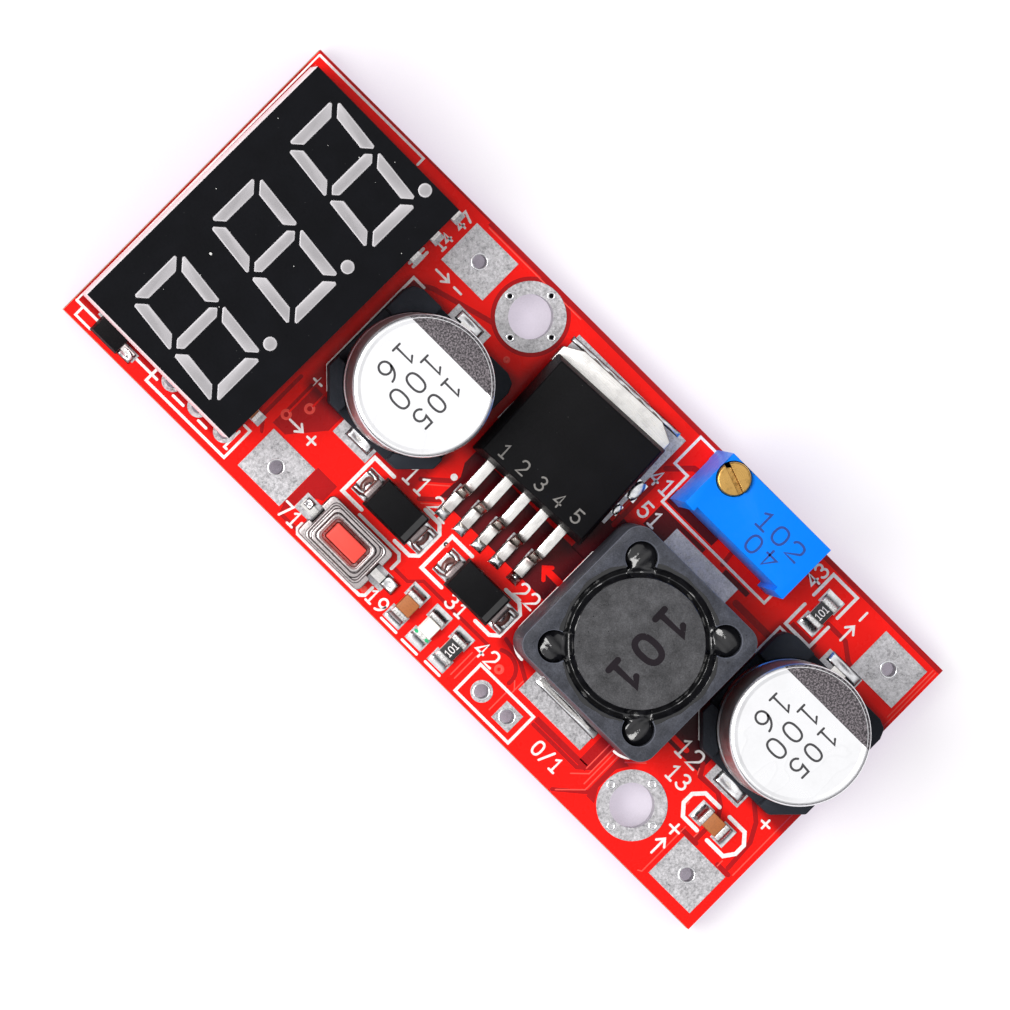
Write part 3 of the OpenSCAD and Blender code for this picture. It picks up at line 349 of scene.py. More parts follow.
class Nodes:
    """Adds nodes to one node tree."""

    def __init__(self, tree):
        self.tree = tree

    def node(self, kind, settings=None, inputs=None):
        """Adds a node of a type, with its settings first and then its sockets."""
        node = self.tree.nodes.new(kind)
        for name, value in (settings or {}).items():
            setattr(node, name, value)
        for name, value in (inputs or {}).items():
            self.feed(node.inputs[name], value)
        return node

    def feed(self, socket, value):
        if isinstance(value, Value):
            value = value.socket
        if isinstance(value, bpy.types.NodeSocket):
            self.tree.links.new(value, socket)
        else:
            socket.default_value = value

    def colours(self, factor, colour, *stops):
        """Shades of a colour one after another, each a (position, shade) pair."""
        ramp = self.node("ShaderNodeValToRGB", None, {0: factor})
        elements = ramp.color_ramp.elements
        for i, (position, by) in enumerate(stops):
            stop = elements[i] if i < 2 else elements.new(position)
            stop.position, stop.color = position, shade(colour, by)
        return ramp.outputs[0]


class Finish(Nodes):
    """One material: a Principled surface and the nodes that feed it."""

    def __init__(self, name, colour, roughness, metallic=0.0, **fixed):
        self.material = bpy.data.materials.new(name)
        self.material.use_nodes = True
        super().__init__(self.material.node_tree)
        self.surface = self.tree.nodes["Principled BSDF"]
        self.places = {}
        self.set(Base_Color=shade(colour), Roughness=roughness, Metallic=metallic, **fixed)

    def set(self, **values):
        for socket, value in values.items():
            self.feed(self.surface.inputs[socket.replace("_", " ")], value)

    def where(self, stretch=(1, 1, 1), turn=0.0, centre=(0, 0, 0)):
        """Object coordinates in millimetres, turned about an upright axis and stretched."""
        key = (stretch, turn, centre)
        if key not in self.places:
            source = self.node("ShaderNodeTexCoord")
            centred = self.node("ShaderNodeVectorMath", {"operation": "SUBTRACT"},
                                {0: source.outputs["Object"], 1: tuple(c * MM for c in centre)})
            node = self.node("ShaderNodeMapping", None, {
                "Vector": centred.outputs[0], "Rotation": (0, 0, math.radians(turn)),
                "Scale": tuple(s / MM for s in stretch)})
            self.places[key] = node.outputs[0]
        return self.places[key]

    def split(self, vector):
        node = self.node("ShaderNodeSeparateXYZ", None, {0: vector})
        return [Value(self, socket) for socket in node.outputs]

    def axes(self, **place):
        return self.split(self.where(**place))

    def facing(self):
        """How far the surface faces up: 1 on a top, 0 on a wall, -1 underneath."""
        return self.split(self.node("ShaderNodeNewGeometry").outputs["Normal"])[2]

    def noise(self, size, detail=3.0, rough=0.55, seed=0.0, **place):
        """Cloudy value around 0.5 whose lumps are about size millimetres across."""
        node = self.node("ShaderNodeTexNoise", {"noise_dimensions": "4D"},
                         {"Vector": self.where(**place), "W": seed, "Scale": 1 / size,
                          "Detail": detail, "Roughness": rough})
        return Value(self, node.outputs[0])

    def cells(self, size):
        node = self.node("ShaderNodeTexVoronoi", None, {"Vector": self.where(), "Scale": 1 / size})
        return Value(self, node.outputs["Distance"])

    def mix(self, factor, first, second):
        node = self.node("ShaderNodeMix", {"data_type": "RGBA"}, {0: factor, 6: first, 7: second})
        return node.outputs[2]

    def tones(self, value, low, high, colour, first, second):
        """From one shade of a colour to another as a value goes from low to high."""
        return self.mix(value.between(low, high), shade(colour, first), shade(colour, second))

    def done(self, tone, rough, height, depth):
        """Sets colour, roughness and relief, and gives the material. A height from 0 to 1
        stands for that depth in millimetres."""
        bump = self.node("ShaderNodeBump", None,
                         {"Height": height, "Strength": 1.0, "Distance": depth * MM})
        self.set(Base_Color=tone, Roughness=rough, Normal=bump.outputs[0])
        return self.material


def shade(colour, by=1.0):
    """A colour times a number, or times one for each of red, green and blue."""
    return (*np.minimum(np.multiply(colour, by), 1.0), 1.0)


# parts round which painted shade darkens the board, and how far it reaches from each, in
# millimetres
TALL = {"display_housing": 1.1, "input_capacitor_base": 0.9, "output_capacitor_base": 0.9,
        "regulator_body": 1.3, "inductor_shield": 1.1}
INSET = 0.2             # the darkening starts this far under each of them
WEAVE = 9.0             # waves of the laminate's cloth, in radians for each millimetre
TOOL_RINGS = 46.0       # rings left on the turned screw, in radians for each millimetre
# painted shade on tinned metal where it slopes and bends down
SLOPE_SHADE = (0.26, 0.23, 0.2)
# colour of the bands on the regulator's leads: painted shade at their bend, a tint on their feet
LEAD_SHADE_AND_TINT = (0.13, 0.075, 0.07)
REGULATOR_TURN = 2.5    # degrees that the regulator sits askew
# dark bands across the regulator's leads: from, to and share, from the middle of its body. The
# first is painted shade where they bend down, the second a light brown tint on their feet
LEAD_BANDS = ((-7.6, -6.75, 0.8), (-10.0, -8.4, 0.3))


def mask_finish(name, colour, edge):
    """Glossy solder mask: slow changes of colour, a faint weave of the cloth beneath and a
    wavy gloss. Painted shade darkens it close to the tall parts: the distance to each part's
    box is the length of what lies outside its half sizes. The cut edge of the laminate
    shows where the surface is upright."""
    f = Finish(name, colour, 0.3, Coat_Roughness=0.1, Specular_IOR_Level=0.12)
    x, y, _ = f.axes()
    tone = f.tones(f.noise(5, 3), 0.35, 0.68, colour, 0.9, 1.06)
    tone = f.mix(f.noise(0.12, 1, seed=8).between(0.7, 0.76) * 0.35, tone, shade(colour, 0.55))
    # painted shade: the mask is darkened close to each tall part
    unshaded = 1.0
    for node, reach in TALL.items():
        low, high = (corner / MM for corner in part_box(node))
        centre, half = (low + high) / 2, (high - low) / 2
        du = (abs(x - centre.x) - (half.x - INSET)).most(0.0)
        dv = (abs(y - centre.y) - (half.y - INSET)).most(0.0)
        unshaded = (du * du + dv * dv).root().between(0.1, reach) * unshaded
    tone = f.mix((1.0 - unshaded) * 0.85, tone, shade(colour, (0.24, 0.1, 0.5)))
    wall = abs(f.facing()).between(0.75, 0.4)
    side = f.tones(f.noise(0.25, 2, stretch=(0.3, 0.3, 3)), 0.4, 0.62, edge, 1, 0.6)
    weave = (x * WEAVE).sine() * (y * WEAVE).sine()
    f.set(Coat_Weight=0.07 - wall * 0.07)
    return f.done(f.mix(wall, tone, side), f.noise(1.4, 2, seed=5).over(0.2, 0.34) + wall * 0.4,
                  f.noise(0.9, 2, seed=6) * 0.6 + weave * 0.08 + f.noise(0.35, 2, seed=3) * 0.2,
                  0.008)


def print_finish(name, colour, rough=0.6):
    """Printed ink: a little uneven in tone, with a dry, slightly bumpy face."""
    f = Finish(name, colour, rough)
    return f.done(f.tones(f.noise(0.22, 3), 0.35, 0.75, colour, 1, 0.8),
                  f.noise(0.5, 2, seed=2).over(rough - 0.08, rough + 0.1),
                  f.noise(0.09, 2, seed=4), 0.006)


def tinned_finish(name, colour, dull=0.42):
    """Hot-tinned copper: a bright metal with a fine grain of grey specks."""
    f = Finish(name, colour, dull, 0.8)
    grain = f.noise(0.17, 3, 0.8)
    tone = f.colours(grain * 0.72 + f.noise(0.8, 3, seed=4) * 0.28, colour,
                     (0.34, 0.34), (0.47, 0.8), (0.66, 1.35))
    return f.done(tone, grain.over(dull - 0.1, dull + 0.15),
                  grain * 0.5 + f.noise(0.5, 2, seed=9), 0.014)


def solder_finish(name, colour):
    """Melted solder: bright where it lies flat and dark where it slopes, a painted reflection,
    with soft waves and duller frosted patches."""
    f = Finish(name, colour, 0.16, 1.0)
    frost = f.noise(0.5, 3, seed=1)
    # painted reflection: the solder is darkened where it slopes
    tone = f.mix(f.facing().between(0.86, 0.45), f.tones(frost, 0.35, 0.7, colour, 1.05, 0.8),
                 shade(colour, 0.2))
    return f.done(tone, frost.between(0.42, 0.7, 0.2, 0.36), f.noise(0.5, 1, seed=7), 0.004)


def drawn_finish(name, colour, rough=0.26, turn=0.0, stretch=(0.06, 1.6, 1), slope_shade=SLOPE_SHADE, bands=()):
    """Stamped and tinned metal with fine lines along its length, and painted shade where it
    bends down and slopes. Dark bands lie across the regulator's leads: painted shade at their
    bend, and a light brown tint on their feet."""
    f = Finish(name, colour, rough, 1.0)
    lines = f.noise(0.12, 3, turn=turn, stretch=stretch)
    tone = f.tones(f.noise(0.7, 3, seed=5), 0.45, 0.75, colour, 1, 0.82)
    for low, high, share in bands:
        y = f.axes(centre=in_model("regulator_body"))[1]
        band = y.between(low - 0.3, low + 0.1) * y.between(high + 0.3, high - 0.1) * share
        # painted shade at the bend, and a tint on the feet
        tone = f.mix(band, tone, shade(LEAD_SHADE_AND_TINT))
    # painted shade: the metal is darker where it slopes down
    return f.done(f.mix(f.facing().between(0.95, 0.6), tone, shade(slope_shade)),
                  lines.over(rough - 0.08, rough + 0.12),
                  lines + f.noise(0.5, 2, seed=3) * 0.3, 0.003)


def mould_finish(name, colour, rough=0.5, grain=0.07, depth=0.01, dust=0.5, shine=0.09):
    """Moulded compound: spark-eroded grain, faint clouds of tone and a few pale specks."""
    f = Finish(name, colour, rough, Specular_IOR_Level=shine)
    fine = f.noise(grain, 3, 0.6, seed=2)
    specks = f.cells(0.5).between(0.07, 0.03) * f.noise(1.3, 1, seed=6).between(0.5, 0.62)
    tone = f.mix(specks * dust, f.tones(f.noise(2.2, 3), 0.3, 0.72, colour, 0.85, 1.25),
                 (*(c * 0.5 + 0.12 for c in colour), 1.0))
    return f.done(tone, fine.between(0.25, 0.75, rough - 0.1, rough + 0.14), fine, depth)


def ferrite_finish(name, colour):
    """Sintered and ground ferrite: mottled dark grey with tiny bright grains and pits, and
    paler on its rounded edges, a painted highlight."""
    f = Finish(name, colour, 0.5, Specular_IOR_Level=0.2)
    mottle, grain = f.noise(1.1, 4, 0.65), f.noise(0.08, 3, 0.7, seed=3)
    tone = f.colours(mottle * 0.45 + grain * 0.55, colour, (0.36, 0.45), (0.5, 1), (0.64, 1.8))
    pits = f.cells(0.6).between(0.1, 0.04) * f.noise(1.0, 1, seed=5).between(0.5, 0.6)
    # painted highlight on the rounded edges
    wear_and_highlight = f.facing().between(0.995, 0.9) * f.facing().between(0.15, 0.5)
    tone = f.mix(pits, f.mix(wear_and_highlight * 0.6, tone, shade(colour, 3.2)), shade(colour, 0.25))
    return f.done(tone, grain.over(0.38, 0.62), grain * 0.5 + mottle * 0.5 - pits * 0.8, 0.025)


def can_finish(name, colour):
    """Drawn aluminium: satin top with faint creases and smudges, the creases darkened a little as
    painted shade, and fine drawing lines on the wall, which is painted dark as a reflection of
    the dark base below it."""
    f = Finish(name, colour, 0.3, 1.0)
    smudge = f.noise(2.6, 4, 0.6)
    folds = f.noise(3.2, 2, 0.4, seed=5, stretch=(1, 0.6, 1), turn=35)
    crease = abs(folds - 0.5).between(0.012, 0.0)
    wall = abs(f.facing()).between(0.5, 0.15)
    lines = f.noise(0.2, 2, seed=2, stretch=(0.2, 0.2, 6)) * wall
    # painted shade: a little darker along the creases
    tone = f.mix(crease * 0.1, f.tones(smudge, 0.35, 0.75, colour, 1, 0.86), shade(colour, 0.7))
    # painted reflection: the wall is much darker than the top
    return f.done(f.mix(wall, tone, shade(colour, 0.3)), smudge.over(0.24, 0.36) + lines * 0.12,
                  crease * 0.2 + lines * 0.5 + f.noise(0.7, 2, seed=8) * 0.3, 0.012)


def plastic_finish(name, colour, rough=0.35, grain=0.25, depth=0.01, wear_and_highlight=1.25, shine=0.3):
    """Smooth moulded plastic with slight flow marks, soft scuffs and paler worn specks."""
    f = Finish(name, colour, rough, Specular_IOR_Level=shine)
    flow, fine = f.noise(2.4, 3, stretch=(0.5, 1, 1)), f.noise(grain, 3, seed=4)
    tone = f.tones(flow, 0.3, 0.75, colour, 0.93, wear_and_highlight * 0.85)
    return f.done(f.mix(fine.between(0.66, 0.78) * 0.3, tone, shade(colour, wear_and_highlight)),
                  fine.over(rough - 0.07, rough + 0.1), flow * 0.5 + fine * 0.5, depth)


def shell_finish(name, colour):
    """White moulded plastic with faint flow marks, tinged with red towards the board: a painted
    reflection of the red board.
    """
    f = Finish(name, colour, 0.5, Specular_IOR_Level=0.3)
    flow, fine = f.noise(2.4, 3, stretch=(0.5, 1, 1)), f.noise(0.3, 3, seed=4)
    low, high = (corner.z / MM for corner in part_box("display_housing"))
    # painted reflection of the red board: pinker lower down
    tone = f.mix(f.axes()[2].between(high + 0.5, low),
                 f.tones(flow, 0.3, 0.75, colour, 0.94, 1.04), shade(colour, (1.0, 0.7, 0.74)))
    return f.done(tone, fine.over(0.43, 0.6), flow * 0.5 + fine * 0.5, 0.01)


def bar_finish(name, colour):
    """Milky resin in the wells of the display: grey, with a painted highlight on the edge where
    it climbs.
    """
    f = Finish(name, colour, 0.4, Specular_IOR_Level=0.2)
    fine = f.noise(0.14, 3, seed=4)
    # painted highlight: paler where the resin's edge climbs
    tone = f.mix(f.facing().between(0.999, 0.97),
                 f.tones(f.noise(1.6, 3), 0.3, 0.72, colour, 0.94, 1.06), shade(colour, 1.75))
    return f.done(tone, fine.over(0.34, 0.5), fine, 0.006)


def glue_finish(name, colour):
    """Cured black adhesive: wet gloss over a lumpy skin, with dull patches."""
    f = Finish(name, colour, 0.1, Coat_Roughness=0.05, Coat_Weight=0.5, Specular_IOR_Level=0.4)
    lumps = f.noise(0.85, 2, 0.5)
    return f.done(f.tones(lumps, 0.4, 0.7, colour, 1, 2.0), lumps.between(0.45, 0.72, 0.06, 0.24),
                  lumps + f.noise(0.3, 2, seed=4) * 0.35, 0.09)


def winding_finish(name, colour):
    """Enamelled copper wire with darker lacquer in its creases."""
    f = Finish(name, colour, 0.3, 1.0)
    return f.done(f.tones(f.noise(0.5, 3), 0.35, 0.7, colour, 1, 0.5),
                  f.noise(0.3, 2, seed=2).over(0.22, 0.42), f.noise(0.12, 2, seed=3), 0.01)


def chip_finish(name, top, side, rough):
    """Chip part whose top is glazed in one colour over ceramic of another."""
    f = Finish(name, top, rough)
    grain = f.noise(0.1, 3)
    colour = f.mix(f.facing().between(0.5, 0.7), shade(side), shade(top))
    return f.done(f.mix(grain.between(0.4, 0.75) * 0.5, colour, shade(top, 0.6)),
                  grain.over(rough - 0.1, rough + 0.12), grain, 0.008)


def brass_finish(name, colour):
    """Turned brass: rings left by the tool, tarnish in patches and polished high spots."""
    f = Finish(name, colour, 0.28, 1.0)
    x, y, _ = f.axes(centre=in_model("trimmer_screw"))
    rings = ((x * x + y * y).root() * TOOL_RINGS).sine() * 0.5 + 0.5
    tarnish = f.noise(0.6, 4, 0.6, seed=3)
    return f.done(f.colours(tarnish, colour, (0.32, 1.15), (0.5, 1), (0.68, 0.42)),
                  tarnish.over(0.18, 0.45), rings * 0.35 + tarnish, 0.012)


def mark_finish(name, dark, pale):
    """Printed field that shows as a fine grey and pale speckle on metal."""
    f = Finish(name, dark, 0.42, 0.35)
    grain = f.noise(0.13, 3, 0.7)
    return f.done(f.mix(grain.between(0.42, 0.64), shade(dark), shade(pale)), grain.over(0.34, 0.6),
                  grain, 0.012)


def lens_finish(name, colour):
    """Milky cast epoxy with a cloudy core."""
    f = Finish(name, colour, 0.16)
    return f.done(f.tones(f.noise(0.4, 2), 0.35, 0.7, colour, 1, 0.86),
                  f.noise(0.3, 2, seed=3).over(0.1, 0.26), f.noise(0.3, 2, seed=5), 0.01)


# ---- sizes and colours to change ----

def colour_prop(name, description, default):
    return FloatVectorProperty(name=name, description=description, default=default, size=3,
                               min=0.0, max=1.0, subtype="COLOR")


def length_prop(name, description, default, low, high):
    return FloatProperty(name=name, description=description, default=default * MM, min=low * MM,
                         max=high * MM, unit="LENGTH", subtype="DISTANCE", precision=5)


class BoardLook(PropertyGroup):
    mask: colour_prop("Mask", "Solder mask over copper", (0.95, 0.008, 0.005))
    bare: colour_prop("Bare mask", "Solder mask over plain laminate", (0.42, 0.006, 0.008))
    # the deep mask colour is painted shade: bare laminate darkened for the shadows of the tall
    # parts
    shaded: colour_prop("Deep mask", "Solder mask in the gaps between tall parts",
                        (0.10, 0.003, 0.006))
    edge: colour_prop("Cut edge", "Cut edge of the laminate", (0.52, 0.30, 0.18))
    ink: colour_prop("Printing", "White printing on the board", (0.92, 0.88, 0.88))
    ink_height: length_prop("Printing height", "Height of the printed lines above the mask",
                            0.02, 0.005, 0.06)
    figure_height: length_prop("Figure height", "Height of the figures on the board",
                               1.12, 0.6, 1.6)


class MetalLook(PropertyGroup):
    tin: colour_prop("Tinned copper", "Plated pads and rings", (0.53, 0.52, 0.54))
    solder: colour_prop("Solder", "Melted solder", (0.80, 0.80, 0.82))
    leads: colour_prop("Leads", "Tinned leads and tabs", (0.82, 0.80, 0.78))
    can: colour_prop("Aluminium", "Capacitor cans", (0.95, 0.95, 0.97))
    steel: colour_prop("Plated steel", "Cover of the push switch", (0.52, 0.47, 0.47))
    brass: colour_prop("Brass", "Screw of the trimmer", (0.56, 0.33, 0.10))


class PlasticLook(PropertyGroup):
    mould: colour_prop("Black compound", "Moulded chips and diodes", (0.0035, 0.0034, 0.0042))
    base: colour_prop("Capacitor base", "Plastic base under a can", (0.020, 0.023, 0.030))
    ferrite: colour_prop("Ferrite", "Shield of the choke", (0.046, 0.049, 0.061))
    drum: colour_prop("Drum ferrite", "Core in the middle of the choke", (0.056, 0.056, 0.060))
    trimmer: colour_prop("Trimmer", "Blue housing of the trimmer", (0.0, 0.205, 0.93))
    button: colour_prop("Button", "Red button of the push switch", (0.84, 0.075, 0.055))
    shell: colour_prop("Display shell", "White moulded shell of the display", (0.80, 0.72, 0.73))
    face: colour_prop("Display face", "Black front of the display", (0.0032, 0.0034, 0.0048))
    bars: colour_prop("Display bars", "Unlit bars of the digits", (0.335, 0.325, 0.34))


class StageLook(PropertyGroup):
    floor: colour_prop("Floor", "Colour of the floor", (0.80, 0.80, 0.81))
    lamp_power: FloatProperty(name="Lamp", description="Power of the large soft lamp", default=3.0,
                              min=0.0, max=20.0, subtype="POWER", unit="POWER")
    sky: FloatProperty(name="Sky", description="Strength of the even light round the board",
                       default=0.72, min=0.0, max=2.0, subtype="FACTOR")
    lens: FloatProperty(name="Lens", description="Focal length of the camera in millimetres",
                        default=391.3, min=50.0, max=800.0)


LOOKS = {"converter_board": BoardLook, "converter_metal": MetalLook,
         "converter_plastic": PlasticLook, "converter_stage": StageLook}

# each kind of finish: its maker, the material's name and the maker's further values, where
# "group.name" stands for the colour set there
MAKERS = {
    "mask": (mask_finish, "solder_mask", "board.mask", "board.edge"),
    "bare": (mask_finish, "bare_mask", "board.bare", "board.bare"),
    # bare laminate between tall parts, darkened as painted shade
    "shaded": (mask_finish, "deep_mask", "board.shaded", "board.shaded"),
    # paler red of the raised copper edges: a painted highlight
    "rim": (mask_finish, "raised_mask", (0.93, 0.09, 0.07), "board.mask"),
    "inner_board": (mask_finish, "inner_board", (0.01, 0.09, 0.03), (0.3, 0.28, 0.14)),
    "ink": (print_finish, "white_printing", "board.ink"),
    "grey_ink": (print_finish, "grey_marking", (0.20, 0.19, 0.18), 0.5),
    "dim_ink": (print_finish, "dim_marking", (0.011, 0.011, 0.0125), 0.5),
    "can_ink": (print_finish, "can_printing", (0.035, 0.034, 0.038), 0.4),
    "blue_ink": (print_finish, "blue_marking", (0.004, 0.045, 0.28), 0.4),
    "green": (print_finish, "green_mark", (0.01, 0.45, 0.17), 0.35),
    "dirt": (print_finish, "pale_speck", (0.7, 0.7, 0.68), 0.7),
    "tin": (tinned_finish, "tinned_copper", "metal.tin"),
    "chip_end": (tinned_finish, "chip_ends", (0.78, 0.77, 0.76), 0.3),
    "solder": (solder_finish, "melted_solder", "metal.solder"),
    "leads": (drawn_finish, "tinned_leads", "metal.leads", 0.24, REGULATOR_TURN, (1.2, 0.2, 1)),
    "bent_leads": (drawn_finish, "regulator_leads", "metal.leads", 0.24, REGULATOR_TURN,
                   (1.2, 0.2, 1),
                   SLOPE_SHADE, LEAD_BANDS),
    # diode leads, much darker than the other tinned leads
    "stained": (drawn_finish, "stained_leads", (0.30, 0.25, 0.25), 0.3),
    "tab": (drawn_finish, "tinned_tab", "metal.leads", 0.3, REGULATOR_TURN, (0.1, 1.5, 1)),
    "steel": (drawn_finish, "plated_steel", "metal.steel", 0.3, 0, (0.5, 1.2, 1),
              (0.16, 0.14, 0.14)),
    "gold": (drawn_finish, "lamp_chips", (0.80, 0.58, 0.24), 0.35),
    "can": (can_finish, "drawn_aluminium", "metal.can"),
    "mark": (mark_finish, "speckled_mark", (0.030, 0.026, 0.030), (0.25, 0.22, 0.24)),
    "brass": (brass_finish, "turned_brass", "metal.brass"),
    "wire": (winding_finish, "enamelled_wire", (0.72, 0.26, 0.10)),
    "mould": (mould_finish, "black_compound", "plastic.mould"),
    "base": (mould_finish, "capacitor_base", "plastic.base", 0.55, 0.12, 0.015),
    "face": (mould_finish, "display_face", "plastic.face", 0.4, 0.2, 0.003, 0.5, 0.07),
    # dark discs in the small vias: painted shade for their holes
    "gap": (mould_finish, "dark_gaps", (0.002, 0.002, 0.003), 0.6, 0.1, 0.004, 0.0, 0.05),
    "dark_ink": (mould_finish, "dark_marking", (0.012, 0.009, 0.012), 0.6, 0.07, 0.01, 0.5, 0.1),
    "ferrite": (ferrite_finish, "shield_ferrite", "plastic.ferrite"),
    "drum": (ferrite_finish, "drum_ferrite", "plastic.drum"),
    "glue": (glue_finish, "black_glue", (0.003, 0.003, 0.004)),
    "flux": (glue_finish, "burnt_flux", (0.10, 0.035, 0.03)),
    "trimmer": (plastic_finish, "trimmer_blue", "plastic.trimmer", 0.35, 0.3, 0.008, 1.12, 0.12),
    "button": (plastic_finish, "button_red", "plastic.button", 0.4, 0.2, 0.015),
    "lamp": (plastic_finish, "lamp_body", (0.84, 0.86, 0.80), 0.4, 0.2, 0.01, 1.1),
    "shell": (shell_finish, "display_shell", "plastic.shell"),
    "bars": (bar_finish, "display_bars", "plastic.bars"),
    "resistor": (chip_finish, "resistor_glaze", (0.016, 0.016, 0.018), (0.72, 0.70, 0.66), 0.35),
    "ceramic": (chip_finish, "capacitor_ceramic", (0.42, 0.135, 0.035), (0.36, 0.11, 0.03), 0.42),
    "lens": (lens_finish, "lamp_lens", (0.98, 1.0, 0.94)),
}
FINISHES = {}


def look(name):
    return getattr(bpy.context.scene, "converter_" + name)


def setting(value):
    if not isinstance(value, str):
        return value
    group, name = value.split(".")
    return tuple(getattr(look(group), name))


def finish(kind):
    """The finish of that kind, made when it is first asked for."""
    if kind not in FINISHES:
        maker, name, *values = MAKERS[kind]
        FINISHES[kind] = maker(name, *map(setting, values))
    return FINISHES[kind]


# ---- the board's copper pattern ----

# gaps between copper areas, as (width, path)
CHANNELS = [
    (0.3, [(15.9, 3.75), (15.15, 4.6), (15.15, 8.4)]), (0.34, [(26.2, 9.2), (27.95, 10.75)]),
    (0.34, [(27.1, 8.15), (28.6, 9.5)]),
    (0.26, [(29.2, 3.45), (30.6, 3.45), (31.4, 4.25), (37.9, 4.25)]),
    (0.3, bow(39.4, 3.6, 1.35, 1.25, 120, -10, 8)),
    (0.3, [(38.4, 5.45), (40.2, 5.05), (41.7, 4.2)]),
    (0.3, [(44, 2.55), (48.3, 2.55), (49.05, 3.2), (49.05, 5.4)]),
    (0.3, [(48.15, 0.24), (50.15, 1.9), (50.15, 5.3)]),
    (0.34, [(54.5, 9), (55, 8.22), (56.7, 8.3), (57.5, 7.75), (57.9, 7.1), (57.9, 4.7)]),
    (0.36, [(56.8, 4.68), (58.1, 4.68)]), (0.36, [(60.25, 4.68), (61.3, 4.68)]),
    (0.34, [(58.9, 9.7), (60.1, 8.7), (60.8, 7.4), (60.95, 5)]),
    (0.34, [(53.9, 22.2), (55.6, 22.2), (56.8, 21.3), (57.2, 21.2)]),
    (0.34, [(50.2, 23.7), (51.75, 23.7)]), (0.4, [(38, 21.9), (39.4, 23.3), (40.6, 23.5)]),
    (0.36, [(38.15, 16.5), (38.15, 20.6)]), (0.34, [(45.6, 19.9), (45.45, 21.2)]),
    (0.5, [(48.2, 18.65), (51.6, 18.65)]), (0.3, [(22.9, 0.55), (20.9, 0.55), (20.6, 1.6)]),
    (0.36, [(15.9, 18.4), (17.4, 19.3), (22.2, 20.6)]),
]
# wider areas of bare laminate; the last is a darker strip along the regulator's left side, laid the
# same way
BARE_AREAS = [
    [(16, 4.7), (17.2, 4.7), (19.2, 7.05), (19.2, 8.6), (16, 8.6)],
    [(20.5, 1.1), (21.1, 1.1), (21.3, 2.7), (22.4, 3.3), (22.4, 4.7), (20.5, 4.7)],
    box_outline(43.85, 2.75, 48.9, 3.2), box_outline(48.05, 3.1, 49, 5.4),
    [(50.2, 1.6), (51, 1.6), (50.4, 2.6), (50.4, 4.4), (50.9, 5.2), (50.2, 5.3)],
    box_outline(17, 25.22, 62, 25.6), box_outline(0, 25.42, 17, 25.6),
    box_outline(52, 19.9, 54.4, 20.6),
    [(26.9, 22.5), (27.2, 14), (27.7, 13.6), (27.9, 16), (27.5, 22.4)],
]
# bare laminate in the gaps between tall parts, painted much darker for the shade and shadows that
# fall there
SHADED_BARE_AREAS = [
    [(28, 9.25), (38.35, 9.25), (38.35, 13.35), (27.6, 13.35), (27.6, 12.2), (28.1, 11.3)],
    [(37.1, 13.3), (39.6, 13.3), (39.6, 17.3), (37.9, 17.3), (37.9, 16.6), (37.1, 16.6)],
    [(39.55, 18), (41.7, 18), (41.7, 19.5), (44, 19.5), (44, 19.85), (39.55, 19.85)],
    box_outline(46, 19.45, 48.4, 19.85), [(39.6, 20.3), (44.1, 20.3), (44.15, 21.3), (39.6, 21.3)],
    [(51.6, 8.35), (54.7, 8.35), (54.7, 9.6), (53.1, 11.3), (51.6, 12)],
    box_outline(38.7, 7.2, 39.2, 9.3),
]
# copper that stands a little proud of the bare laminate round it, as (width, path)
TRACES = [
    (0.5, [(36.9, 10.9), (39.3, 10.9)]), (0.3, [(37.2, 11.3), (36.75, 10.9), (37.35, 10.25)]),
    (0.4, [(51.6, 8.85), (53, 8.85)]), (0.16, [(15.35, 8.6), (15.35, 4.75), (16.1, 3.75)]),
    (0.14, [(16.3, 9.4), (16.3, 6.1)]), (0.14, [(17.22, 8.9), (17.22, 7.5)]),
]
# thin raised edges of copper under the mask, paler red than the mask as a painted highlight
HIGHLIT_RIMS = [
    [(37.37, 3.1), (37.37, 0.95)], [(37.75, 3.1), (37.75, 0.95)], [(41.05, 2.8), (41.05, 1.1)],
    [(41.35, 4.2), (41.35, 3.1)], [(41.35, 3.3), (40.9, 3.8)],
    [(49.25, 5.4), (49.25, 2.85), (48.3, 1.95)], [(48.85, 5.4), (48.85, 3)],
    [(49.85, 5.4), (49.85, 1.85), (48.35, 0.4)], [(49.5, 5.3), (49.5, 2.1)],
    [(50.5, 5.2), (51.6, 6.2)], [(61.55, 11.2), (61.55, 4.9)], [(61.5, 25.1), (61.5, 20.5)],
    [(61.75, 25.1), (61.75, 19.5)], [(56.75, 5), (56.75, 0.6), (56.5, 0.45)],
    [(60.3, 5.1), (60.3, 4.6)], [(57.68, 5.3), (57.68, 4.9)], [(54.55, 8.6), (54.75, 8.2)],
    [(37.75, 20.2), (37.75, 17.6)], [(26.6, 9.1), (28, 10.3)], [(27.4, 8), (28.9, 9.3)],
    [(0.5, 1.9), (0.5, 24.6)], [(17.2, 25.1), (26.3, 25.1)],
]
# small plated holes under the mask, as (u, v, width across)
VIAS = [
    (17.17, 7.21, 0.8), (16.28, 5.77, 0.8), (39.55, 3.6, 0.72), (30.7, 7.2, 0.5),
    (55.5, 6.28, 0.52), (28.8, 0.9, 0.5), (0.9, 23.9, 0.6), (24.6, 19.4, 0.5), (38.9, 12.3, 0.5),
    (61.3, 15.2, 0.5),
]
HOLES = [(23.68, 22.74), (52.98, 3.39)]
WIRE_HOLES = [(18.4, 2.65), (18.4, 22.95), (59.2, 2.65), (59.2, 22.95)]
JUMPER_HOLES = [(39.76, 1.63), (42.3, 1.63)]

# ---- white printing on the board, as (width, path) ----

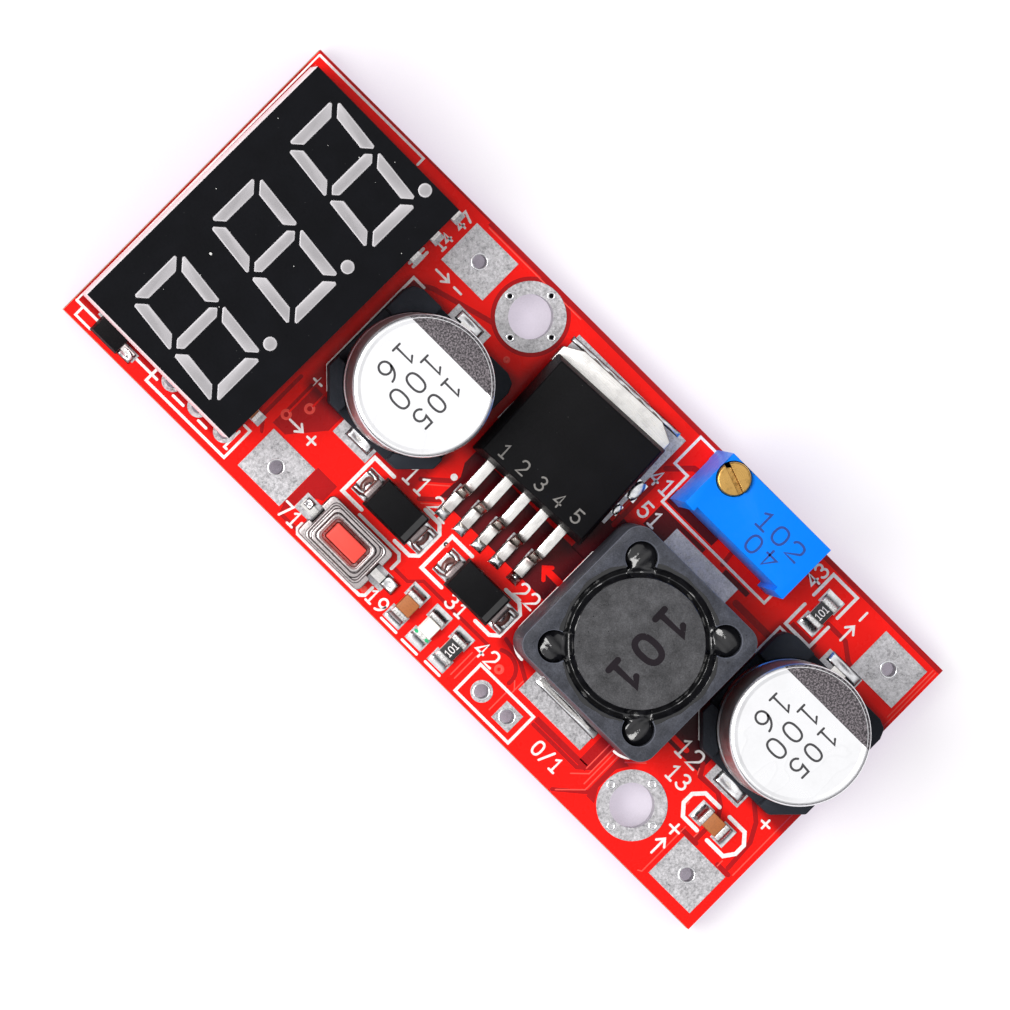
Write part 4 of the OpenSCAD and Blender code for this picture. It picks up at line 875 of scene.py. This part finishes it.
PRINTED = [
    (0.13, [(0.2, 25.3), (0.2, 1.12)]), (0.2, [(0.2, 1.12), (8.1, 1.12)]),
    (0.2, [(9.7, 1.12), (10.7, 1.12)]), (0.2, [(12.2, 1.12), (12.95, 1.12)]),
    (0.18, [(2.3, 0.33), (0.85, 0.33), (0.85, 1)]),
    (0.18, [(0.25, 25.3), (10.5, 25.3), (10.5, 24.7)]),
    (0.2, [(7.6, 2), (7.6, 0.55), (15.3, 0.55), (15.3, 3.15), (14.75, 3.15)]),
    (0.18, [(14.78, 2.6), (14.78, 1.1), (15, 1.1)]), (0.22, [(14.95, 19.4), (14.95, 20.8)]),
    (0.22, [(15.32, 19.4), (15.32, 20.8)]),
    (0.2, [(17.6, 8.9), (17.3, 8.9), (15.88, 10.3), (15.88, 18.9), (16.9, 18.9)]),
    (0.28, [(24.75, 8), (22.85, 8), (22.85, 4.75), (24.75, 4.75)]),
    (0.28, [(27.95, 7.9), (29.35, 7.9), (29.9, 7.35), (29.9, 5.3), (29.4, 4.83), (27.95, 4.83)]),
    (0.28, [(32.6, 7.9), (30.62, 7.9), (30.62, 4.83), (32.6, 4.83)]),
    (0.28, [(35.95, 7.9), (37.3, 7.9), (37.9, 7.35), (37.9, 5.3), (37.35, 4.83), (35.95, 4.83)]),
    (0.24, [(24.9, 4.4), (28.8, 4.4), (29.15, 4.05), (29.15, 3.3)]),
    (0.24, [(29.15, 1.4), (29.15, 0.65), (28.85, 0.38), (22.75, 0.38), (22.45, 0.68),
        (22.45, 1.1)]), (0.2, [(31.1, 0.33), (32.55, 0.33)]), (0.2, [(33.2, 0.27), (34.65, 0.27)]),
    (0.2, [(35.45, 0.33), (36.85, 0.33)]),
    (0.2, np.concatenate([[(38.5, 14.1)], bow(40.2, 7, 1.7, 1.8, 180, 270, 9)])),
    (0.18, bow(49.4, 7.4, 1.9, 2.2, 270, 305, 5)),
    (0.2, [(49.6, 21.1), (49.6, 20.07), (39.43, 20.07), (39.43, 22.6), (38.17, 22.6),
        (38.17, 25.2), (40.3, 25.2)]),
    (0.24, [(51.7, 22.95), (51.7, 24.95), (54.05, 24.95), (54.05, 22.95)]),
    (0.24, [(51.7, 22.05), (51.7, 20.12), (54.05, 20.12), (54.05, 22.05)]),
    (0.3, [(57.5, 7.65), (56.1, 7.65), (55.45, 6.95), (55.45, 6.1), (56.1, 5.37), (57.5, 5.37)]),
    (0.3, [(58.5, 7.65), (60, 7.65), (60.62, 6.95), (60.62, 6.1), (60.1, 5.37), (58.5, 5.37)]),
    (0.16, [(51.65, 11.5), (53.1, 10.05), (53.6, 10.05)]),
    (0.18, [(51.6, 17.2), (51.6, 19.65), (52.1, 19.65)]), (0.5, [(27.77, 10.95), (27.79, 10.95)]),
    (0.22, [(38.38, 0.37), (43.64, 0.37), (43.64, 2.93), (38.38, 2.93), (38.38, 0.37)]),
]
# figures on the board, as (figures, place, turn, size against the usual height)
NUMBERS = [
    ("11", (26.1, 8.95), 0, 1.1), ("21", (28.75, 8.7), 0, 1), ("22", (37.35, 8.65), 0, 1),
    ("31", (34.3, 4.65), 0, 0.9), ("42", (38.2, 3.75), 0, 1), ("19", (30.05, 0.98), 0, 0.9),
    ("71", (21.4, 0.95), 0, 0.95), ("41", (38.45, 21), 0, 1), ("51", (39.5, 18.8), 0, 1),
    ("43", (50.9, 24.1), 90, 0.9), ("12", (53.35, 8.85), 0, 1.15), ("13", (53.95, 7.1), 0, 1),
    ("14", (15.6, 22.15), 90, 0.7), ("47", (15.6, 24.15), 90, 0.7), ("0/1", (46.3, 1.6), 0, 0.9),
    (">+", (17.9, 5.7), 0, 1), (">-", (17.8, 20.4), 0, 1), (">-", (55.3, 23.3), 90, 1.1),
    (">+", (56.3, 3.3), 90, 1.1), ("+", (16.17, 8.93), 0, 0.9), ("+", (60.58, 9.08), 0, 0.95),
]


# ---- solder ----

# pools that lie open on a land: (place, half sizes, height)
POOLS = [
    ((21.25, 8.2), (1.1, 0.5), 0.3), ((57, 9.25), (1.25, 0.55), 0.3),
    ((21, 19.3), (1.1, 0.4), 0.25), ((56.9, 20.75), (1.4, 0.4), 0.22),
    ((44.85, 5.1), (2.85, 0.36), 0.2), ((29.85, 2.4), (0.6, 0.5), 0.42),
    ((21.85, 2.45), (0.36, 0.34), 0.34),
]
# two-ended chip parts: (place, turn, height that the solder climbs at each end)
CHIPS = [((31.76, 2.2), 90, 0.85), ((33.95, 2.2), 90, 0.36), ((36.14, 2.2), 90, 0.42),
         ((52.95, 22.4), 90, 0.42), ((57.97, 6.47), 0, 0.85)]
RESISTORS = [CHIPS[2], CHIPS[3]]
LEAD_PITCH = 1.7        # between the regulator's leads
SINK = 0.01             # how far laid things reach below the face they lie on


def fillet(s, t, rise, power=2.6, side=6):
    """Solder that climbs towards one end: rise times the power of the way across, drawn in
    at its sides by one minus a high power of the way along them."""
    return rise * ((s + 1) / 2) ** power * (1 - np.abs(t) ** side) ** 0.5


def pool(s, t, rise, hollow=0.35):
    """Puddle with steep round borders and a slightly hollow, wavy middle."""
    rim = ((1 - np.abs(s) ** 5) * (1 - np.abs(t) ** 4)) ** 0.5
    return rise * rim * (1 - hollow * np.exp(-3 * (s ** 2 + t ** 2)) + 0.12 * np.sin(3 * s + 2 * t))


def bowl(s, t, rise):
    """Horseshoe of solder round a lead's foot: a ridge that follows a half circle open towards
    the lead, with a low flat outside it and a hollow inside."""
    rim = ((1 - np.abs(s) ** 10) * (1 - np.abs(t) ** 10)) ** 0.5
    away = np.hypot(np.minimum(0.68 * s - 0.22, 0), 0.98 * t)
    return rise * rim * (0.1 + np.exp(-((away - 0.74) / 0.17) ** 4))


def drop(s, t, rise):
    """Drop with an oval outline, nearly flat on top: the rise times the root of one minus
    the fifth power of the distance from its middle."""
    return rise * np.sqrt(np.clip(1 - np.hypot(s, t) ** 5, 0, 1))


def foot(s, t, peak):
    """Thin skin of solder round a lead's foot, with a bell-shaped peak near the lead's tip."""
    skin = 0.1 * ((1 - s ** 4) * (1 - t ** 6)) ** 0.5
    return skin + peak * np.exp(-((t + 0.62 - 0.1 * peak) / 0.3) ** 2) * (1 - s * s)


def seam(s, t):
    """Long low ridge of solder, whose height wavers along it and falls off at its borders."""
    wavering = 0.24 + 0.04 * np.sin(11 * s) + 0.025 * np.sin(23 * s + 2 * t)
    return wavering * (1 - t ** 4) * (1 - s ** 8) ** 0.5


def on_regulator(u, v):
    """Board place of a point given from the middle of the regulator, along its own sides."""
    return turned([(u, v)], REGULATOR_TURN)[0] + middle("regulator_body")[:2]


# ---- pieces, one operator each ----

class CONVERTER_OT_stage(Operator):
    """Adds the pale floor, the even sky, the soft lamp and the camera"""
    bl_idname = "converter.stage"
    bl_label = "Stage"

    def execute(self, context):
        settings = look("stage")
        link = context.scene.collection.objects.link
        self.floor(link, settings.floor)
        context.scene.world = bpy.data.worlds.new("studio")
        self.sky(context.scene.world, settings.sky)

        lamp = bpy.data.lights.new("window", "AREA")
        lamp.shape, lamp.size, lamp.size_y = "RECTANGLE", 0.34, 0.26
        lamp.energy, lamp.color = settings.lamp_power, (1.0, 0.985, 0.97)
        window = bpy.data.objects.new("window", lamp)
        window.location = (-0.22, -0.20, 0.42)
        window.rotation_euler = (-window.location).to_track_quat("-Z", "Y").to_euler()
        link(window)

        camera = bpy.data.cameras.new("camera")
        camera.lens, camera.sensor_width, camera.clip_end = settings.lens, 36.0, 10.0
        camera.sensor_fit = "HORIZONTAL"
        eye = bpy.data.objects.new("camera", camera)
        place = Vector((-64.05, -35.18, 769.98)) * MM
        ahead = Vector((0.08398, 0.04470, -0.99546)).normalized()
        picture_up = math.radians(134.81)
        up = Vector((math.cos(picture_up), math.sin(picture_up), 0))
        right = ahead.cross(up).normalized()
        turn = Matrix((right, right.cross(ahead), -ahead)).transposed().to_4x4()
        eye.matrix_world = Matrix.Translation(place) @ turn
        link(eye)
        context.scene.camera = eye
        context.scene.view_settings.view_transform = "Standard"
        return {"FINISHED"}

    def floor(self, link, colour):
        """Square of paper, seen as an even glow with a painted shadow: the glow dims and turns
        lavender close under the board.
        """
        mesh = bpy.data.meshes.new("floor")
        x, y = np.meshgrid(*[(-1.5, 0.0, 1.5)] * 2, indexing="ij")
        points = np.stack([x, y, 0 * x], -1).reshape(-1, 3)
        quads = np.array([[0], [1], [3], [4]]) + [0, 3, 4, 1]
        mesh.from_pydata(points.tolist(), [], quads.tolist())
        floor = bpy.data.objects.new("floor", mesh)
        link(floor)
        f = Finish("floor_paper", colour, 0.8)
        f.set(Base_Color=f.tones(f.noise(40.0, 2), 0.3, 0.7, colour, 1, 0.985))
        ray = f.node("ShaderNodeLightPath").outputs
        seen = Value(f, ray["Is Camera Ray"]).most(ray["Is Glossy Ray"])
        seen = seen.most(ray["Is Transmission Ray"])
        shadow = f.node("ShaderNodeAmbientOcclusion", {"samples": 8}, {"Distance": 0.014})
        sky = Value(f, shadow.outputs["AO"])
        glow = f.node("ShaderNodeEmission", None, {
            "Color": f.mix(sky.between(0.4, 1.0), (0.93, 0.84, 0.98, 1), (1.0, 0.99, 1.0, 1)),
            "Strength": sky.between(0.0, 0.2, 0.06, 0.68) + sky.between(0.4, 0.95, 0.0, 0.12)})
        lit = f.node("ShaderNodeBsdfDiffuse", None, {"Color": (0.26, 0.25, 0.27, 1)})
        both = f.node("ShaderNodeAddShader", None, {0: glow.outputs[0], 1: lit.outputs[0]})
        choice = f.node("ShaderNodeMixShader", None,
                        {0: seen, 1: f.surface.outputs[0], 2: both.outputs[0]})
        f.feed(f.tree.nodes["Material Output"].inputs["Surface"], choice.outputs[0])
        mesh.materials.append(f.material)

    def sky(self, world, strength):
        """Two skies: a graded one that is seen and mirrored, and an even one that lights."""
        world.use_nodes = True
        w = Nodes(world.node_tree)
        up = w.node("ShaderNodeSeparateXYZ", None,
                    {0: w.node("ShaderNodeTexCoord").outputs["Generated"]}).outputs[2]
        white = (1, 1, 1)
        skies = [
            (w.colours(up, white, (0.05, 1), (0.85, 0.62)), strength),
            (w.colours(up, white, (0.1, (0.045, 0.04, 0.045)), (0.93, 1),
                       (0.45, (0.22, 0.22, 0.2244)), (0.72, (0.6, 0.6, 0.612))), 1.0)]
        even, mirror = (
            w.node("ShaderNodeBackground", None, {"Color": tone, "Strength": power}).outputs[0]
            for tone, power in skies)
        ray = w.node("ShaderNodeLightPath").outputs
        pick = w.node("ShaderNodeMixShader", None, {
            0: Value(w, ray["Is Camera Ray"]).most(ray["Is Glossy Ray"]), 1: even, 2: mirror})
        w.feed(w.tree.nodes["World Output"].inputs["Surface"], pick.outputs[0])


class CONVERTER_OT_board(Operator):
    """Finishes the laminate and lays the copper pattern that shows through the mask"""
    bl_idname = "converter.board"
    bl_label = "Board and copper pattern"

    def execute(self, context):
        dress(circuit_board="mask")
        top, low = BOARD_TOP, BOARD_TOP - SINK
        bare, shaded_bare, copper, rims = Shape(), Shape(), Shape(), Shape()
        for width, path in CHANNELS:
            bare.line(path, width, low, top + 0.004)
        for outline in BARE_AREAS:
            bare.panel(outline, low, top + 0.003)
        bare.ring(HOLES[0], [(2.83, low), (2.83, top + 0.005), (2.4, top + 0.005), (2.4, low)])
        # painted shade: bare laminate in the gaps between tall parts, much darker than the rest
        for outline in SHADED_BARE_AREAS:
            shaded_bare.panel(outline, low, top + 0.006)
        for width, path in TRACES:
            copper.line(path, width, low, top + 0.02)
        # raised copper edges and via rings, in a paler red: a painted highlight
        rims.lines(HIGHLIT_RIMS, 0.09, low, top + 0.012)
        for u, v, across in VIAS:
            r = across / 2
            rims.ring((u, v), [(r, low), (r, top + 0.012), (r - 0.08, top + 0.02),
                               (r - 0.2, top + 0.02), (r - 0.24, low)], 24)
        bare.piece("bare_laminate", "bare", "board_laminate")
        shaded_bare.piece("bare_laminate_shaded", "shaded", "board_laminate")
        copper.piece("proud_traces", "mask", "board_laminate", 40)
        rims.piece("raised_edges_highlight", "rim", "board_laminate", 50)
        return {"FINISHED"}


class CONVERTER_OT_printing(Operator):
    """Prints the white outlines and plain figures on the board"""
    bl_idname = "converter.printing"
    bl_label = "White printing"

    def execute(self, context):
        board = look("board")
        low, high = BOARD_TOP, BOARD_TOP + board.ink_height / MM
        tall = board.figure_height / MM
        ink = Shape()
        for width, path in PRINTED:
            ink.line(path, width, low, high)
        for words, place, turn, size in NUMBERS:
            ink.lines(figures(words, place, tall * size, turn, 0.28), 0.17, low, high)
        ink.piece("white_printing", "ink", "board_laminate")
        return {"FINISHED"}


class CONVERTER_OT_pads(Operator):
    """Finishes the tinned pads and adds the ring of small vias round each mounting hole"""
    bl_idname = "converter.pads"
    bl_label = "Pads and lands"

    def execute(self, context):
        dress(mounting_hole_linings="tin", wire_pads="tin", jumper_hole_linings="tin",
              header_hole_linings="tin", solder_lands="tin", pin_solder_joints="solder")
        rims, dark, top = Shape(), Shape(), COPPER_TOP
        for hole in HOLES:
            for place in bow(*hole, 2.07, 2.07, 0, 270, 3):
                rims.ring(place, [(0.31, top), (0.27, top + 0.025), (0.21, top + 0.02),
                                  (0.16, top - 0.02)], 24)
                # dark discs in the first hole's small vias are painted shade for their open holes
                if hole == HOLES[0]:
                    dark.panel(bow(*place, 0.17, 0.17, 0, 345, 23), top - 0.02, top + 0.004)
        for place in WIRE_HOLES + JUMPER_HOLES:
            rims.ring(place, [(0.62, top), (0.59, top + 0.018), (0.54, top + 0.016),
                              (0.5, top - 0.03), (0.56, top - 0.03)], 40)
        rims.piece("hole_rims", "solder", "tinned_copper", 60)
        dark.piece("small_via_shade", "gap", "tinned_copper")
        return {"FINISHED"}


class CONVERTER_OT_solder(Operator):
    """Lays the solder between each land and the part that stands on it"""
    bl_idname = "converter.solder"
    bl_label = "Solder"

    def execute(self, context):
        melt, flux, low = Shape(), Shape(), COPPER_TOP
        for place, half, rise in POOLS:
            melt.hill(place, half, lambda s, t: pool(s, t, rise), low, 0, (18, 14))
        for node in ("input_diode_body", "freewheel_diode_body"):
            u, v, _ = middle(node)
            for way in (-1, 1):
                melt.hill((u + way * 2.66, v), (0.68, 0.98), lambda s, t: bowl(s, t, 0.26), low,
                          90 - 90 * way, (36, 40))
                flux.hill((u + way * 2.62, v), (0.5, 0.66), lambda s, t: drop(s, t, 0.3), low,
                          0, (20, 20))
                melt.hill((u + way * 2.46, v - 0.12), (0.38, 0.46),
                          lambda s, t: drop(s, t, 0.56), low, 0, (20, 20))
        for place, turn, rise in CHIPS:
            for way in (turn, turn + 180):
                melt.hill(turned([(-1.3, 0)], way)[0] + place, (0.34, 0.66),
                          lambda s, t: fillet(s, t, rise * 0.8), low, way, (14, 16))
        for i in range(-2, 3):
            peak = 0.6 if i == 2 else 0.14
            melt.hill(on_regulator(i * LEAD_PITCH, -8.55), (0.47, 1.0),
                      lambda s, t: foot(s, t, peak), low, REGULATOR_TURN, (18, 26))
        melt.hill(on_regulator(0.2, 6.05), (5.1, 0.2), seam, low, REGULATOR_TURN, (90, 12))
        for place, half in (((37.6, 19.3), (0.4, 0.8)), ((37.55, 17.42), (0.24, 0.42))):
            melt.hill(place, half, lambda s, t: drop(s, t, 0.12), low, REGULATOR_TURN, (22, 22))
        melt.hill((5.3, 0.85), (0.62, 0.42), lambda s, t: pool(s, t, 0.5), low)
        melt.piece("solder", "solder", "solder", 50)
        flux.piece("flux", "flux", "solder", 60)
        return {"FINISHED"}


class CONVERTER_OT_display(Operator):
    """Finishes the three-digit display and the small parts under its edge"""
    bl_idname = "converter.display"
    bl_label = "Display"

    def execute(self, context):
        dress(display_housing="shell", display_face="face", display_circuit_board="inner_board",
              display_lamp_chips="gold", display_pins="leads", meter_regulator_leads="leads",
              meter_controller_leads="leads", meter_controller_body="mould",
              meter_chip_bodies="ceramic", meter_chip_ends="chip_end")
        softened("meter_regulator_body", "mould", 0.05)
        softened("display_bars", "bars", 0.1)
        top = middle("display_face")[2]
        dust = Shape()
        draw = np.random.default_rng(7).uniform
        for u, v in draw((0.8, 2.2), (13.6, 23.4), (16, 2)):
            r = draw(0.02, 0.05)
            dust.panel(bow(u, v, r, r * draw(0.6, 1), 0, 300, 5), top, top + 0.006)
        dust.panel(bow(4.15, 9.65, 0.11, 0.09, 0, 330, 11), top, top + 0.012)
        dust.piece("display_dust", "dirt", "display_black")
        return {"FINISHED"}


# the dark mark on a can's top: radii from its chord out over the dish, the rim and the
# rounded edge, and the heights there against the can's top
MARK_RADII = (2.9, 3.2, 3.6, 4.0, 4.3, 4.39, 4.41, 4.6, 4.68, 4.78, 4.87, 4.92)
MARK_LEVELS = [-0.05] * 8 + [0, 0, -0.008, -0.03, -0.08, -0.13]
# rows of figures on a can: distance from its middle, figures and height
CAN_ROWS = ((1.5, "105", 1.35), (-0.55, "100", 1.5), (-2.5, "16", 1.5))


class CONVERTER_OT_capacitors(Operator):
    """Finishes the two can capacitors, with the dark field and figures on their tops"""
    bl_idname = "converter.capacitors"
    bl_label = "Can capacitors"

    def execute(self, context):
        marks, ink = Shape(), Shape()
        for name, chord in (("input_capacitor", 2.72), ("output_capacitor", 2.6)):
            dress(**{name + "_can": "can", name + "_leads": "leads"})
            softened(name + "_base", "base", 0.12)
            u, v, top = middle(name + "_can")
            radius = np.array([chord + 0.001, chord + 0.1, *MARK_RADII])[:, None]
            level = top + 0.006 + np.array(MARK_LEVELS)[:, None]
            start = np.arcsin(np.clip(chord / radius, 0, 1))
            angle = start + np.linspace(0, 1, 61) * (np.pi - 2 * start)
            grid = np.stack([u + radius * np.cos(angle), v + radius * np.sin(angle),
                             np.broadcast_to(level, angle.shape)], -1)
            marks.blanket(grid.transpose(1, 0, 2)[:, ::-1], top - 0.14)
            for across, words, tall in CAN_ROWS:
                ink.lines(figures(words, (u + across, v - 0.25), tall, -90, 0.45), 0.165,
                          top - 0.055, top - 0.043)
        marks.piece("negative_marks", "mark", "can_aluminium", 50)
        ink.piece("can_figures", "can_ink", "can_aluminium")
        return {"FINISHED"}


CORE, BORE = 4.61, 5.43             # radii of the choke's core and of its shield's bore
POCKET = math.hypot(4.15, 4.35)     # from the middle to each glue pocket
POCKET_TURN = 1.35                  # degrees that the pockets lie off the diagonals
POCKET_RADIUS = 1.13


class CONVERTER_OT_choke(Operator):
    """Finishes the shielded choke and pours the lumpy black glue round its core"""
    bl_idname = "converter.choke"
    bl_label = "Choke"

    def execute(self, context):
        softened("inductor_shield", "ferrite", 0.16)
        dress(inductor_drum_core="drum", inductor_winding="wire", inductor_base="mould",
              inductor_terminals="leads")
        u, v, top = middle("inductor_shield")
        glue = Shape()
        glue.loft(self.glue_rows(u, v, top), closed=True)
        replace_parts(glue.piece("glue_ring", "glue", "black_glue", 60), "inductor_glue")
        ink = Shape()
        top = middle("inductor_drum_core")[2]
        ink.lines(figures("101", (u + 0.7, v + 0.1), 2.15, -88, 0.5), 0.46,
                  top - 0.005, top + 0.006)
        ink.piece("choke_figures", "dark_ink", "drum_ferrite")
        return {"FINISHED"}

    def glue_rows(self, u, v, top):
        """Ring of glue from the core to the bore, which runs out into the four pockets. Across
        the gap it sags as the sine of the way over, with waves of three lengths along it, and
        in a pocket it is a dome: the root of one minus the square of the distance."""
        angle = np.linspace(0, 2 * np.pi, 360, endpoint=False)[:, None]
        degrees = np.degrees(angle)
        lean = np.where(degrees % 180 < 90, -POCKET_TURN, POCKET_TURN)
        off = np.radians((degrees % 90 - 45 + lean + 45) % 90 - 45)
        aside = POCKET * np.sin(off)
        reach = POCKET * np.cos(off) + np.sqrt(np.maximum(POCKET_RADIUS ** 2 - aside ** 2, 0))
        outer = np.where(np.abs(aside) < POCKET_RADIUS, np.maximum(reach, BORE), BORE)
        in_pocket = outer > BORE
        ragged = 0.22 + 0.06 * np.sin(7 * angle) + 0.04 * np.sin(19 * angle)
        edge = outer + np.where(in_pocket, 0.0, ragged)
        radius = CORE + (edge - CORE) * np.linspace(0, 1, 31)
        waves = (0.05 * np.sin(9 * angle + 1.1) + 0.035 * np.sin(17 * angle + 2)
                 + 0.03 * np.sin(31 * angle))
        trough = np.sin(np.pi * np.clip((radius - CORE) / (BORE - CORE), 0, 1))
        ring = (top - 0.16 + 0.18 * np.clip((radius - 5.0) / 0.43, 0, 1)
                - 0.42 * trough ** 1.5 + waves * trough)
        ring = np.where(radius > 5.4, np.maximum(ring, top + 0.02), ring)
        away = np.hypot(radius * np.cos(off) - POCKET, radius * np.sin(off)) / POCKET_RADIUS
        dome = (top - 0.72 + 0.42 * np.sqrt(np.clip(1 - away ** 2, 0, 1))
                + 0.07 * np.sin(23 * angle + 4 * radius))
        share = np.clip((radius - 4.9) / 0.5, 0, 1) * in_pocket
        height = ring * (1 - share) + np.minimum(dome, top - 0.1) * share
        surface = np.stack([u + radius * np.cos(angle), v + radius * np.sin(angle), height], -1)
        foot = surface[:, [-1, 0]].copy()
        foot[..., 2] = top - 1.4
        return np.concatenate([surface, foot], 1)


class CONVERTER_OT_regulator(Operator):
    """Finishes the five-lead regulator: moulded body, bright tab, leads and pin figures"""
    bl_idname = "converter.regulator"
    bl_label = "Regulator"

    def execute(self, context):
        softened("regulator_body", "mould", 0.12)
        softened("regulator_tab", "tab", 0.06)
        softened("regulator_leads", "bent_leads", 0.05)
        top = middle("regulator_body")[2]
        ink = Shape()
        for i, word in zip(range(-2, 3), "12345"):
            place = on_regulator(i * LEAD_PITCH, -3.2)
            ink.lines(figures(word, place, 1.0, REGULATOR_TURN), 0.13, top - 0.005, top + 0.006)
        ink.piece("pin_figures", "grey_ink", "black_mould")
        return {"FINISHED"}


class CONVERTER_OT_diodes(Operator):
    """Finishes the two diodes, each with a paler band at its cathode end"""
    bl_idname = "converter.diodes"
    bl_label = "Diodes"

    def execute(self, context):
        bands = Shape()
        for name in ("input_diode", "freewheel_diode"):
            softened(name + "_body", "mould", 0.06)
            softened(name + "_leads", "stained", 0.03)
            u, v, top = middle(name + "_body")
            bands.panel(box_outline(u + 1.42, v - 1.12, u + 1.85, v + 1.12),
                        top - SINK, top + 0.005)
        bands.piece("cathode_bands", "dim_ink", "black_mould")
        return {"FINISHED"}


# rounded rings pressed into the switch cover: half length, half width, corner and rise of
# each outline from the outer foot over the ridge to the inner foot, against the cover's top
COVER_RINGS = [
    [(2.62, 1.72, 0.5, -0.5), (2.60, 1.70, 0.5, -0.27), (2.54, 1.64, 0.46, -0.19),
     (2.46, 1.56, 0.42, -0.2), (2.38, 1.48, 0.38, -0.27), (2.34, 1.44, 0.36, -0.5)],
    [(2.26, 1.36, 0.5, -0.6), (2.22, 1.34, 0.5, -0.28), (2.12, 1.29, 0.5, -0.2),
     (2.02, 1.22, 0.46, -0.02), (1.92, 1.12, 0.42, 0.06), (1.80, 1.02, 0.38, 0.04),
     (1.72, 0.95, 0.34, -0.04), (1.66, 0.89, 0.30, -0.12), (1.50, 0.74, 0.2, -0.14),
     (1.45, 0.70, 0.16, -0.16), (1.45, 0.70, 0.16, -0.6)],
]


class CONVERTER_OT_switch(Operator):
    """Finishes the push switch: pressed steel cover, red button, dome and terminals"""
    bl_idname = "converter.switch"
    bl_label = "Push switch"

    def execute(self, context):
        dress(switch_base="mould", switch_terminals="leads")
        softened("switch_cover", "steel", 0.1)
        softened("switch_button", "button", 0.12, "button")
        u, v, top = middle("switch_cover")
        cover = Shape()
        for profile in COVER_RINGS:
            rows = []
            for half_u, half_v, corner, rise in profile:
                line = box_outline(u - half_u, v - half_v, u + half_u, v + half_v, corner)
                rows.append(np.column_stack([line, np.full(len(line), top + rise)]))
            cover.loft(np.stack(rows, 1), closed=True)
        cover.piece("cover_ridges", "steel", "switch_steel", 70)
        # the dome gets a mesh of its own
        dome = softened("switch_dome", "steel", 0.02)
        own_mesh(dome)
        return {"FINISHED"}


class CONVERTER_OT_trimmer(Operator):
    """Finishes the blue trimmer, its brass screw and the figures on its top"""
    bl_idname = "converter.trimmer"
    bl_label = "Trimmer"

    def execute(self, context):
        softened("trimmer_housing", "trimmer", 0.08)
        softened("trimmer_screw", "brass", 0.05, "adjuster")
        dress(trimmer_pins="leads")
        u, v, top = middle("trimmer_housing")
        ink = Shape()
        for words, du, dv, turn, gap, wide in (("102", 1.6, 0.6, 0, 0.35, 1.35),
                                               ("40", 1.4, -1.1, 180, 0.5, 1.2)):
            ink.lines(figures(words, (u + du, v + dv), 1.25, turn, gap, wide), 0.17,
                      top - 0.005, top + 0.004)
        ink.piece("trimmer_figures", "blue_ink", "trimmer_blue")
        return {"FINISHED"}


class CONVERTER_OT_chips(Operator):
    """Finishes the chip resistors, chip capacitors and the indicator lamp"""
    bl_idname = "converter.chips"
    bl_label = "Chip parts"

    def execute(self, context):
        for node, kind, width, slot in (
                ("chip_resistor_bodies", "resistor", 0.04, "resistor_top"),
                ("chip_capacitor_bodies", "ceramic", 0.06, "chip_ceramic"),
                ("indicator_lamp_body", "lamp", 0.03, "lamp_white"),
                ("indicator_lamp_lens", "lens", 0.08, "lamp_lens"),
                ("chip_resistor_ends", "chip_end", 0.07, "tinned_lead"),
                ("chip_capacitor_ends", "chip_end", 0.07, "tinned_lead"),
                ("indicator_lamp_ends", "chip_end", 0.07, "tinned_lead")):
            softened(node, kind, width)
        ink, green = Shape(), Shape()
        top = middle("chip_resistor_bodies")[2]
        for place, turn, _ in RESISTORS:
            ink.lines(figures("101", place, 0.52, turn, 0.16, 0.85), 0.075,
                      top - 0.003, top + 0.005)
        ink.piece("resistor_figures", "ink", "resistor_top")
        top = middle("indicator_lamp_ends")[2]
        for u in (33.45, 34.45):
            green.panel(bow(u, 1.42, 0.17, 0.12, 0, 345, 23), top, top + 0.006)
        green.piece("lamp_marks", "green", "lamp_white")
        return {"FINISHED"}


OPERATORS = (
    CONVERTER_OT_stage, CONVERTER_OT_board, CONVERTER_OT_printing, CONVERTER_OT_pads,
    CONVERTER_OT_solder, CONVERTER_OT_display, CONVERTER_OT_capacitors, CONVERTER_OT_choke,
    CONVERTER_OT_regulator, CONVERTER_OT_diodes, CONVERTER_OT_switch, CONVERTER_OT_trimmer,
    CONVERTER_OT_chips,
)


class CONVERTER_PT_panel(Panel):
    """Lists the sizes, the colours and the pieces"""
    bl_idname = "CONVERTER_PT_panel"
    bl_label = "Step-down Converter"
    bl_space_type = "VIEW_3D"
    bl_region_type = "UI"
    bl_category = "Converter"

    def draw(self, context):
        for name, group in LOOKS.items():
            box = self.layout.box()
            for prop in group.__annotations__:
                box.prop(getattr(context.scene, name), prop)
        for operator in OPERATORS:
            self.layout.operator(operator.bl_idname)


def register():
    for cls in (*LOOKS.values(), *OPERATORS, CONVERTER_PT_panel):
        bpy.utils.register_class(cls)
    for name, group in LOOKS.items():
        setattr(bpy.types.Scene, name, PointerProperty(type=group))


def unregister():
    for name in LOOKS:
        delattr(bpy.types.Scene, name)
    for cls in reversed((*LOOKS.values(), *OPERATORS, CONVERTER_PT_panel)):
        bpy.utils.unregister_class(cls)


def main():
    register()
    for operator in OPERATORS:
        group, name = operator.bl_idname.split(".")
        getattr(getattr(bpy.ops, group), name)()


if __name__ == "__main__":
    main()
